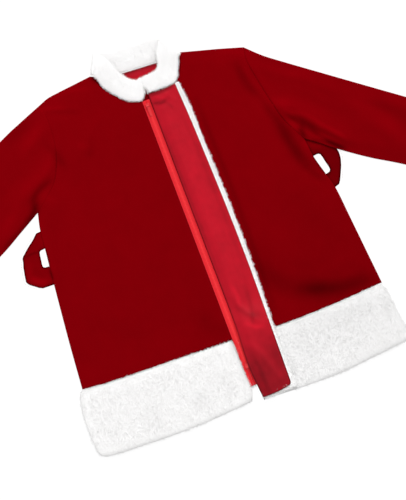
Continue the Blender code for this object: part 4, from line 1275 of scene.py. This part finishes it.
# Painted light on the satin: highlights on its wrinkles, painted shade in its creases and under the collar,
# in the same columns
liningShades = (
    (12, -10, 30, -16, 44, -14, 3, -0.22),
    (24, 0, 36, -6, 50, -4, 3, 0.10),
    (36, -14, 46, -26, 52, -40, 4, -0.10),
    (12, 8, 40, 7, 70, 9, 3, -0.26),
    (14, -80, 15, -240, 16, -420, 3, -0.10),
    (66, -60, 72, -220, 74, -420, 5, -0.07),
    (40, -140, 44, -230, 40, -330, 12, 0.04),
    (30, -455, 36, -480, 34, -505, 5, 0.12),
    (34, -548, 50, -562, 66, -566, 5, 0.16),
    (22, -500, 44, -530, 70, -540, 7, -0.12),
    (60, -470, 56, -520, 44, -560, 6, -0.10),
    (30, -590, 50, -630, 66, -690, 8, 0.07),
    (18, -600, 26, -660, 28, -708, 6, -0.08),
)


def flapBase(points):
    onFront = underside(points) + layers["velvet"] + layers["laidOn"]
    onHem = layers["overHem"] + layers["underFlap"] + layers["gap"]
    climb = smoothStep(-500, -566, points[..., 1])
    return onFront + (np.maximum(onHem, onFront) - onFront) * climb


def flapFurTop(points):
    share = 0.25 + 0.75 * smoothStep(0, 24, points[..., 0] - 9)
    return flapBase(points) + layers["flapFur"] * share


def liningTop(points, away):
    s = flapSizes
    small = addLumps(foldHeight(points, liningWrinkles), points, s["wrinkleLumps"])
    level = flapFurTop(points) + s["underSatin"] + s["satin"] + s["overSatin"]
    return level + small * smoothStep(1, 9, away)


def makeLining():
    s = flapSizes
    grid = patchAt(flapCut["foot"], flapCut["top"], flapCut["hinge"], flapCut["free"],
                   bothEnds(72, s["liningColumns"]), bothEnds(727, s["liningRows"]))
    # the lower corner at the free edge is sewn round
    corner = smoothStep(s["corner"], 0, np.linalg.norm(grid - flapCut["free"][0], axis=2))
    grid = grid + corner[..., None] * np.array([-1.0, 1.0]) * 0.25 * s["corner"]
    away = distanceTo(grid, edgeOf(grid))[0]
    lining = layCloth("flapLining", liningTop(grid, away) - rolled(away, 2.4, 0.6), grid)
    shade = addLumps(s["shade"] + s["shadeStrength"] * foldHeight(grid, liningShades), grid, s["shadeLumps"])
    # painted shade beside the zip, along the rolled edges and where the lining curves down at its foot
    shade -= s["hingeDarker"] * smoothStep(10, 0, grid[..., 0] - 9.4) + s["edgeDarker"] * bell(away, 1.8)
    shade -= s["footDarker"] * smoothStep(-545, -665, grid[..., 1] - 0.4 * (grid[..., 0] - 40))
    return giveWall(giveShade(lining, "toneAndPaintedLight", shade), s["satin"])


def makeFlapFur():
    s = flapSizes
    down = bothEnds(s["furLong"], s["furRows"])
    free = curveThrough(flapCut["furFree"], down)
    lining = curveThrough(flapCut["free"], down)
    hinge = curveThrough(flapCut["hinge"], down) + (0.6, 0)
    shares = np.concatenate([np.linspace(0, 0.82, 8), np.linspace(0.86, 1, s["stripColumns"])])
    across = shares[None, :, None]
    outer = free - (s["furInset"], 0.0)
    grid = hinge[:, None] * (1 - across) + outer[:, None] * across
    grid[..., 1] = grid[..., 1] + (-s["hem"] + 2.0) * smoothStep(0.04, 0.0, down)[:, None]
    underLining = smoothStep(2, -4, grid[..., 0] - lining[:, None, 0])
    grid[..., 1] = grid[..., 1] - 5.0 * smoothStep(0.96, 1.0, down)[:, None] * underLining
    away = distanceTo(grid, edgeOf(grid))[0]
    beyond = grid[..., 0] - np.interp(grid[..., 1], lining[:, 1], lining[:, 0])
    below = -(grid[..., 1] + s["furFoot"])
    outside = np.maximum(smoothStep(-2, 2, beyond), smoothStep(-2, 2, below))
    low = flapBase(grid) + 0.2
    high = flapFurTop(grid) - 2.6 * outside - 0.1
    comb = np.zeros(grid.shape[:2] + (3,))
    comb[..., 0] = 1.5 * smoothStep(-6, 4, beyond)
    comb[..., 1] = -1.7 * smoothStep(-5, 3, below) + 0.3
    comb[..., 1] += s["wave"] * unevenness(grid, s["waveSize"], 3.3)
    # painted shade along the foot of the fur strip
    toneAndPaintedShade = 1 - s["furFootDarker"] * bell(distanceTo(grid, grid[0])[0], s["furFootReach"])
    return closedSlab("flapPile", grid, low, high, domed(away, s["furRound"]), comb, outside, toneAndPaintedShade)


flapLining = finishPiece(makeLining(), satin, ("flap_lining",))
flapBacking = makeFlapFur()
flapPile = growFur("flapFurPile", flapBacking, flapSizes["spacing"], flapSizes["length"], flapSizes["seed"])
finishPiece(flapBacking, furBacking, ("flap_fur",))
finishPiece(flapPile, fur)
print("flap laid open")

# Satin facing inside the back neck
facingCut = {
    "top": ((-84, 88), (-58, 79.8), (0, 74.7), (62, 70.9), (98, 64)),
    "foot": ((-74, 62), (-40, 40), (5, 32), (50, 36), (88, 46)),
    "right": ((-74, 62), (-79, 75), (-84, 88)), "left": ((88, 46), (93, 55), (98, 64)),
}
facingSizes = {
    "columns": 60, "rows": 20, "satin": 1.0, "cut": (0.19, 0.05), "area": 0.0067,
    "level": 3.5, "lumps": ((0.5, 24, 1.4), (0.25, 8, 6.2)),
    "shade": 0.97, "shadeLumps": ((0.06, 14, 3.9),), "collarShadow": 0.5, "seamReach": 6.5,
}


def makeFacing():
    s = facingSizes
    grid = patchAt(facingCut["foot"], facingCut["top"], facingCut["right"], facingCut["left"],
                   np.linspace(0, 1, s["columns"]), np.linspace(0, 1, s["rows"]))
    facing = layCloth("neckFacing", s["level"] + addLumps(0.0, grid, s["lumps"]), grid)
    fromSeam = distanceTo(grid, curveThrough(facingCut["top"], np.linspace(0, 1, 30)))[0]
    # painted shadow of the collar along the facing's top edge
    shade = addLumps(s["shade"], grid, s["shadeLumps"]) - s["collarShadow"] * bell(fromSeam, s["seamReach"])
    return giveWall(giveShade(facing, "toneAndPaintedLight", shade), s["satin"])


neckFacing = finishPiece(makeFacing(), satin, ("back_neck_facing",))

# Belt loops, each a flat strap of velvet. Columns: inner edge x, y; outer edge x, y.
loopCut = {
    "beltLoopRight": (
        (-323, -190, -337, -191), (-324.6, -208, -350, -203), (-327, -226, -366, -215),
        (-329, -229.4, -372, -220), (-336, -230.2, -378, -225.5), (-341.5, -230.9, -383, -229.5),
        (-344.6, -233.6, -386, -234), (-346, -240, -387.5, -242), (-347.5, -251, -391, -253),
        (-349.3, -262, -394.5, -270), (-349, -267.2, -396, -279), (-345.2, -269.8, -397, -285),
        (-339, -270.2, -395, -290), (-332, -270.8, -391, -295), (-332, -280, -383, -301),
        (-334.5, -297, -374, -308), (-336.7, -313, -366, -312)),
    "beltLoopLeft": (
        (297.5, -198, 327, -209), (302, -226, 351, -230), (305, -245, 356.5, -237),
        (308, -249.6, 358, -240), (315, -248.6, 359.5, -242), (320.5, -248.8, 361, -244.5),
        (324.3, -251.6, 362, -247), (326.4, -259, 363.8, -254), (329, -272, 365, -262),
        (332.2, -285, 364.5, -272), (332.4, -291.6, 363.4, -278), (329, -295.4, 362, -283),
        (323.5, -296.6, 359, -292), (317.5, -298.5, 355, -301), (321.5, -315, 345, -322),
        (327, -333, 340, -329)),
}
loopNodes = {"beltLoopRight": "belt_loop_right", "beltLoopLeft": "belt_loop_left"}
loopSizes = {
    "rowsPerStep": 3, "columns": 18, "thick": 3.0, "round": 1.6,
    # edgeShade is painted shade along each loop's rolled edge
    "groove": 4.2, "grooveDeep": 0.55, "grooveReach": 0.9, "edgeShade": 0.66, "edgeReach": 3.1,
    "lumps": ((0.5, 13, 2.2), (0.25, 6, 4.4)), "lumpsFrom": (1, 4),
    "cut": {"beltLoopRight": (0.05, 0.13), "beltLoopLeft": (0.045, 0.13)},
    # painted shadow: the left loop lies in the sleeve's shadow
    "paintedShade": {"beltLoopRight": 0.05, "beltLoopLeft": 0.27},
}


def makeLoop(name):
    s = loopSizes
    pairs = np.array(loopCut[name], float)
    steps = np.arange(len(pairs))
    up = np.linspace(0, len(pairs) - 1, (len(pairs) - 1) * s["rowsPerStep"] + 1)
    lines = np.stack([np.interp(up, steps, pairs[:, k]) for k in range(4)], axis=1)
    shares = bothEnds(45, s["columns"])
    grid = lines[:, None, :2] * (1 - shares)[None, :, None] + lines[:, None, 2:] * shares[None, :, None]
    away = distanceTo(grid, edgeOf(grid))[0]
    groove = -s["grooveDeep"] * bell(away - s["groove"], s["grooveReach"])
    high = s["thick"] + (groove + addLumps(0.0, grid, s["lumps"])) * smoothStep(*s["lumpsFrom"], away)
    middle, half = high / 2, high / 2 * domed(away, s["round"])
    # painted shade of the loop: the sleeve's shadow and its darker rolled edge
    paintedShade = s["paintedShade"][name] + s["edgeShade"] * bell(away, s["edgeReach"])
    top = giveNapAndPaintedLight(layCloth(name, middle + half, grid), grid, paintedShade)
    under = giveNapAndPaintedLight(layCloth(name + "Under", middle - half, grid), grid, paintedShade)
    return joinSides(top, under)


for name, node in loopNodes.items():
    piece = finishPiece(makeLoop(name), velvet, (node,))
print("belt loops laid")

for tuft in list(tuftShelf.objects):
    bpy.data.objects.remove(tuft, do_unlink=True)
bpy.data.collections.remove(tuftShelf)

# Zip: woven tapes, moulded teeth, the slider with its pull, and the box at its foot
zipSizes = {
    "half": 9.0, "inner": 0.2, "top": 1.5, "foot": -684, "rows": 236, "columns": 14, "wall": 1.0,
    "cord": 0.3, "cordPlace": 5.0, "cordReach": 0.7,
    "step": 3.0, "firstTooth": -16.5, "lastTooth": -631,
    "root": 4.4, "tip": -1.2, "head": 1.3, "headSlope": 0.25, "wide": 1.4, "headWide": 2.1,
    "low": 0.6, "toothTop": 1.95, "chamfer": 0.22,
    "sliderPlace": (0.0, -12.0), "deck": 1.5, "slider": (9.0, 11.0, 3.2), "taper": 0.80,
    "ear": (1.3, 3.6, 4.2), "earX": 3.3, "earRoot": 0.5, "pin": 0.8, "pinAbove": 2.4,
    "bore": 1.15, "barrel": 1.9, "barrelLong": 4.4, "neckHalf": 2.2, "tabHalf": 3.0, "tabThick": 1.2,
    "tabRound": 21.9, "panelDeep": 0.32, "slope": 10,
    "boxPlace": (0.8, -638.0), "box": (9.0, 10.0, 2.6), "ribs": (-2.2, 0.0, 2.2),
}


def makeTape(name, side):
    s = zipSizes
    x = side * np.linspace(s["inner"], s["half"], s["columns"])
    y = np.linspace(s["foot"], s["top"], s["rows"])
    grid = np.dstack(np.meshgrid(x, y))
    aside = np.abs(grid[..., 0])
    fromEnds = np.minimum(s["top"] - grid[..., 1], grid[..., 1] - s["foot"])
    away = np.minimum(s["half"] - aside, fromEnds)
    heights = (underside(grid) + layers["tape"] + 0.12 * unevenness(grid, 16, 8.8) - rolled(away, 0.9, 0.4)
               + s["cord"] * bell(aside - s["cordPlace"], s["cordReach"]))
    return giveWall(layCloth(name, heights, grid), s["wall"])


def addBlock(name, low, high, narrow=1.0, recess=None, bevel=0.35):
    # a block between two corners in mm, narrower at its lower end, with a shallow panel in its top
    deselectAll()
    bpy.ops.mesh.primitive_cube_add(size=1)
    block = bpy.context.object
    block.name = block.data.name = name
    middle, size = (np.array(low) + np.array(high)) / 2, np.array(high) - np.array(low)
    for point in block.data.vertices:
        x, y, z = np.array(point.co[:]) * size
        point.co = Vector((x * (narrow if y < 0 else 1), y, z)) * mm
    if recess:
        bpy.ops.object.mode_set(mode="EDIT")
        bpy.ops.mesh.select_mode(type="FACE")
        bpy.ops.mesh.select_all(action="DESELECT")
        bpy.ops.object.mode_set(mode="OBJECT")
        for face in block.data.polygons:
            face.select = face.normal.z > 0.9
        bpy.ops.object.mode_set(mode="EDIT")
        bpy.ops.mesh.inset(thickness=recess[0] * mm, depth=0.0)
        bpy.ops.mesh.inset(thickness=0.15 * mm, depth=-recess[1] * mm)
        bpy.ops.object.mode_set(mode="OBJECT")
    block.data.transform(Matrix.Translation(Vector(middle) * mm))
    return shapeWith(block, "BEVEL", width=bevel * mm, segments=2, limit_method="ANGLE")


def addRodX(name, radius, length, centre, sides=24, ends="NGON"):
    deselectAll()
    bpy.ops.mesh.primitive_cylinder_add(vertices=sides, radius=radius * mm, depth=length * mm,
                                        end_fill_type=ends, location=Vector(centre) * mm,
                                        rotation=(0, math.pi / 2, 0))
    bpy.ops.object.transform_apply(location=True, rotation=True, scale=True)
    rod = bpy.context.object
    rod.name = rod.data.name = name
    return rod


def atZip(piece):
    # from the table's place in mm to the jacket's frame
    piece.data.transform(Matrix.Translation((zipTop[0], zipTop[1], 0)))
    piece.data.update()
    return piece


def makeTeeth(name, side, start):
    # one tooth with a wider head past the middle, repeated down the tape
    s = zipSizes
    deselectAll()
    bpy.ops.mesh.primitive_cube_add(size=1)
    tooth = bpy.context.object
    tooth.name = tooth.data.name = name
    tooth.data.clear_geometry()
    x = (s["root"], s["tip"] + s["head"], s["tip"] + s["headSlope"], s["tip"])
    half = (s["wide"] / 2, s["wide"] / 2, s["headWide"] / 2, s["headWide"] / 2 - s["headSlope"])
    c, low, top = s["chamfer"], s["low"], s["toothTop"]
    points, faces = [], []
    for place, wide in zip(x, half):
        points += [(place, -wide, low), (place, -wide, top - c), (place, -wide + c, top),
                   (place, wide - c, top), (place, wide, top - c), (place, wide, low)]
    for ring in range(3):
        for k in range(6):
            a, b = ring * 6 + k, ring * 6 + (k + 1) % 6
            faces.append((a, b, b + 6, a + 6))
    faces += [tuple(range(5, -1, -1)), tuple(range(18, 24))]
    places = [(p[0] * side * mm, p[1] * mm, p[2] * mm) for p in points]
    tooth.data.from_pydata(places, [], faces)
    mergeNear(tooth, 0.001, faceOut=True)
    count = int((s["firstTooth"] - s["lastTooth"]) / s["step"])
    row = shapeWith(tooth, "ARRAY", count=count, use_relative_offset=False, use_constant_offset=True,
                    constant_offset_displace=(0, -s["step"] * mm, 0))
    spots = placesOf(row)
    middle = np.round(spots[:, 1] / (s["step"] * mm)) * s["step"] + start
    spots[:, 1] += start * mm
    spots[:, 2] += underside(np.stack([np.zeros_like(middle), middle], axis=1)) * mm
    setPlaces(row, spots)
    return atZip(row)


def makeSlider(deck):
    s = zipSizes
    x, y = s["sliderPlace"]
    wide, long, thick = s["slider"]
    top = deck + thick
    body = addBlock("zipSlider", (x - wide / 2, y - long / 2, deck), (x + wide / 2, y + long / 2, top),
                    s["taper"], (1.0, 0.45), 0.5)
    parts = [body]
    for side in (-1, 1):
        ex, ey, ez = s["ear"]
        low = (x + side * s["earX"] - ex / 2, y - ey / 2, top - s["earRoot"])
        parts.append(addBlock("ear", low, np.array(low) + (ex, ey, ez), bevel=0.5))
    parts.append(addRodX("pin", s["pin"], 2 * s["earX"] + 0.8, (x, y, top + s["pinAbove"])))
    return atZip(joinPieces(parts))


def makePull(pinAt):
    # a barrel round the pin, and a tab with a raised rim, sloping down to the teeth
    s = zipSizes
    barrel = addRodX("zipPull", s["barrel"], s["barrelLong"], (0, 0, 0), 28, "NOTHING")
    giveWall(barrel, s["barrel"] - s["bore"])
    d = np.concatenate([np.linspace(1.3, 7.6, 9), (8.0, 8.3), np.linspace(9.5, 20.4, 8), (20.9, 21.2),
                        21.8 + 3.1 * np.sin(np.linspace(0.1, math.pi / 2, 10))])
    across = np.array([-1, -0.94, -0.86, -0.70, -0.62, -0.3, 0, 0.3, 0.62, 0.70, 0.86, 0.94, 1])
    half = s["neckHalf"] + (s["tabHalf"] - s["neckHalf"]) * smoothStep(4.0, 7.5, d)
    past = d - s["tabRound"]
    half = np.where(past > 0, s["tabHalf"] * np.sqrt(np.clip(1 - (past / 3.0) ** 2, 0, 1)), half)
    panel = smoothStep(8.0, 8.3, d) * (1 - smoothStep(20.9, 21.2, d))
    recess = s["panelDeep"] * panel[:, None] * (np.abs(across) < 0.65)[None]
    recess = recess + s["panelDeep"] / 2 * (np.abs(across) > 0.97)[None]
    x = half[:, None] * across[None]
    places = np.dstack([x, np.repeat(-d[:, None], len(across), axis=1), s["tabThick"] / 2 - recess])
    tab = gridOf("tab", places * mm)
    mergeNear(tab, 0.01)
    giveWall(faceUp(tab), s["tabThick"] - s["panelDeep"])
    pull = joinPieces([barrel, tab])
    sloped = Matrix.Rotation(math.radians(s["slope"]), 4, "X")
    pull.data.transform(Matrix.Translation(Vector(pinAt) * mm) @ sloped)
    return atZip(pull)


def makeZipBox():
    s = zipSizes
    x, y = s["boxPlace"]
    wide, long, thick = s["box"]
    low = float(underside(np.array([x, y]))) + s["deck"]
    parts = [addBlock("zipBox", (x - wide / 2, y - long / 2, low), (x + wide / 2, y + long / 2, low + thick),
                      0.92, (0.9, 0.3), 0.45)]
    for shift in s["ribs"]:
        parts.append(addBlock("rib", (x - 2.6, y + shift - 0.4, low + thick - 0.7),
                              (x + 2.6, y + shift + 0.4, low + thick - 0.02), bevel=0.15))
    return atZip(joinPieces(parts))


for name, side, node in (("zipTapeRight", -1, "zip_tape_right"), ("zipTapeLeft", 1, "zip_tape_left")):
    piece = finishPiece(makeTape(name, side), tape, (node,))
for name, side, start in (("zipTeethRight", -1, zipSizes["firstTooth"]),
                          ("zipTeethLeft", 1, zipSizes["firstTooth"] - zipSizes["step"] / 2)):
    finishPiece(makeTeeth(name, side, start), teethPlastic, crisp=True)
sliderDeck = float(underside(np.array(zipSizes["sliderPlace"]))) + zipSizes["deck"]
finishPiece(makeSlider(sliderDeck), zipPaint, ("zip_slider",), crisp=True)
pinAt = (*zipSizes["sliderPlace"], sliderDeck + zipSizes["slider"][2] + zipSizes["pinAbove"])
finishPiece(makePull(pinAt), zipPaint, ("zip_pull",), "zip_pull", crisp=True)
finishPiece(makeZipBox(), zipPaint, ("zip_box",), crisp=True)
print("zip closed, its pin at", [round(v, 2) for v in pinAt])

# Machine stitches, one repeated along each sewn line
stitchSizes = {"long": 2.7, "thick": 0.46, "step": 3.7, "sink": 0.1}


def makeStitch(name):
    s = stitchSizes
    along = np.array([-0.5, -0.38, 0.0, 0.38, 0.5]) * s["long"]
    radius = np.array([0.0, 0.75, 1.0, 0.75, 0.0]) * s["thick"] / 2
    rise = np.array([-0.3, -0.05, 0.12, -0.05, -0.3]) * s["thick"]
    turn = np.linspace(0, 2 * math.pi, 7)
    places = np.dstack([np.repeat(along[:, None], 7, axis=1), radius[:, None] * np.cos(turn)[None],
                        rise[:, None] + radius[:, None] * np.sin(turn)[None]])
    stitch = gridOf(name, places * mm)
    mergeNear(stitch, 0.01, faceOut=True)
    return stitch


def sewAlong(name, points, heights):
    # a row of stitches along these points in mm, at these heights
    s = stitchSizes
    line = bpy.data.curves.new(name + "Line", "CURVE")
    line.dimensions = "3D"
    line.twist_mode = "Z_UP"
    spline = line.splines.new("POLY")
    spline.points.add(len(points) - 1)
    places = np.column_stack([np.asarray(points) * mm + zipTop, (np.asarray(heights) - s["sink"]) * mm,
                              np.ones(len(points))])
    spline.points.foreach_set("co", places.reshape(-1))
    guide = bpy.data.objects.new(name + "Line", line)
    bpy.context.scene.collection.objects.link(guide)
    stitch = makeStitch(name)
    shapeWith(stitch, "ARRAY", fit_type="FIT_CURVE", curve=guide, use_relative_offset=False,
              use_constant_offset=True, constant_offset_displace=(s["step"] * mm, 0, 0))
    shapeWith(stitch, "CURVE", object=guide)
    bpy.data.objects.remove(guide, do_unlink=True)
    return stitch


def alongLine(table, inset=0.0):
    # points every few mm along a curve, moved to its left by the inset
    rough = curveThrough(table, np.linspace(0, 1, 60))
    length = np.linalg.norm(np.diff(rough, axis=0), axis=1).sum()
    line = curveThrough(table, np.linspace(0, 1, max(8, int(length / 3))))
    run = np.gradient(line, axis=0)
    run = run / np.linalg.norm(run, axis=1)[:, None]
    return line + inset * np.stack([-run[:, 1], run[:, 0]], axis=1)


def sewJacket():
    onVelvet, onSatin = [], []
    line = alongLine(((-12.6, -556), (-12.6, -280), (-12.6, -4)))
    onVelvet.append(sewAlong("zipSeam", line, velvetTop(line)))
    for side, sense in (("Right", 1), ("Left", -1)):
        top = np.array(sleeveCut["top" + side][-1], float)
        under = np.array(sleeveCut["under" + side][-1], float)
        up = np.array(sleeveCut["top" + side][-2], float) - top
        shift = up / np.linalg.norm(up) * sleeveSizes["hemDepth"]
        line = top + shift + np.linspace(0.04, 0.96, 60)[:, None] * (under - top)
        onVelvet.append(sewAlong("cuffSeam" + side, line, velvetTop(line) - sleeveSizes["hemDip"] + 0.25))
    for name in loopNodes:
        outer = [(row[2], row[3]) for row in loopCut[name]]
        line = alongLine(outer, -4.2 if name == "beltLoopRight" else 4.2)[4:-4]
        onVelvet.append(sewAlong("loopSeam" + name, line, np.full(len(line), loopSizes["thick"] - 0.3)))
    inset = 4.0
    for label, table, side in (("Hinge", flapCut["hinge"], -inset), ("Free", flapCut["free"], inset),
                               ("Top", flapCut["top"], -inset), ("Foot", flapCut["foot"], inset)):
        line = alongLine(table, side)
        keep = (line[:, 1] > -709) & (line[:, 1] < 9) & (line[:, 0] > 12) & (line[:, 0] < 84)
        line = line[keep]
        onSatin.append(sewAlong("liningSeam" + label, line, liningTop(line, np.full(len(line), 4.0))))
    finishPiece(joinPieces(onVelvet), velvetThread).name = "velvetStitches"
    finishPiece(joinPieces(onSatin), satinThread).name = "satinStitches"


sewJacket()
print("seams sewn")
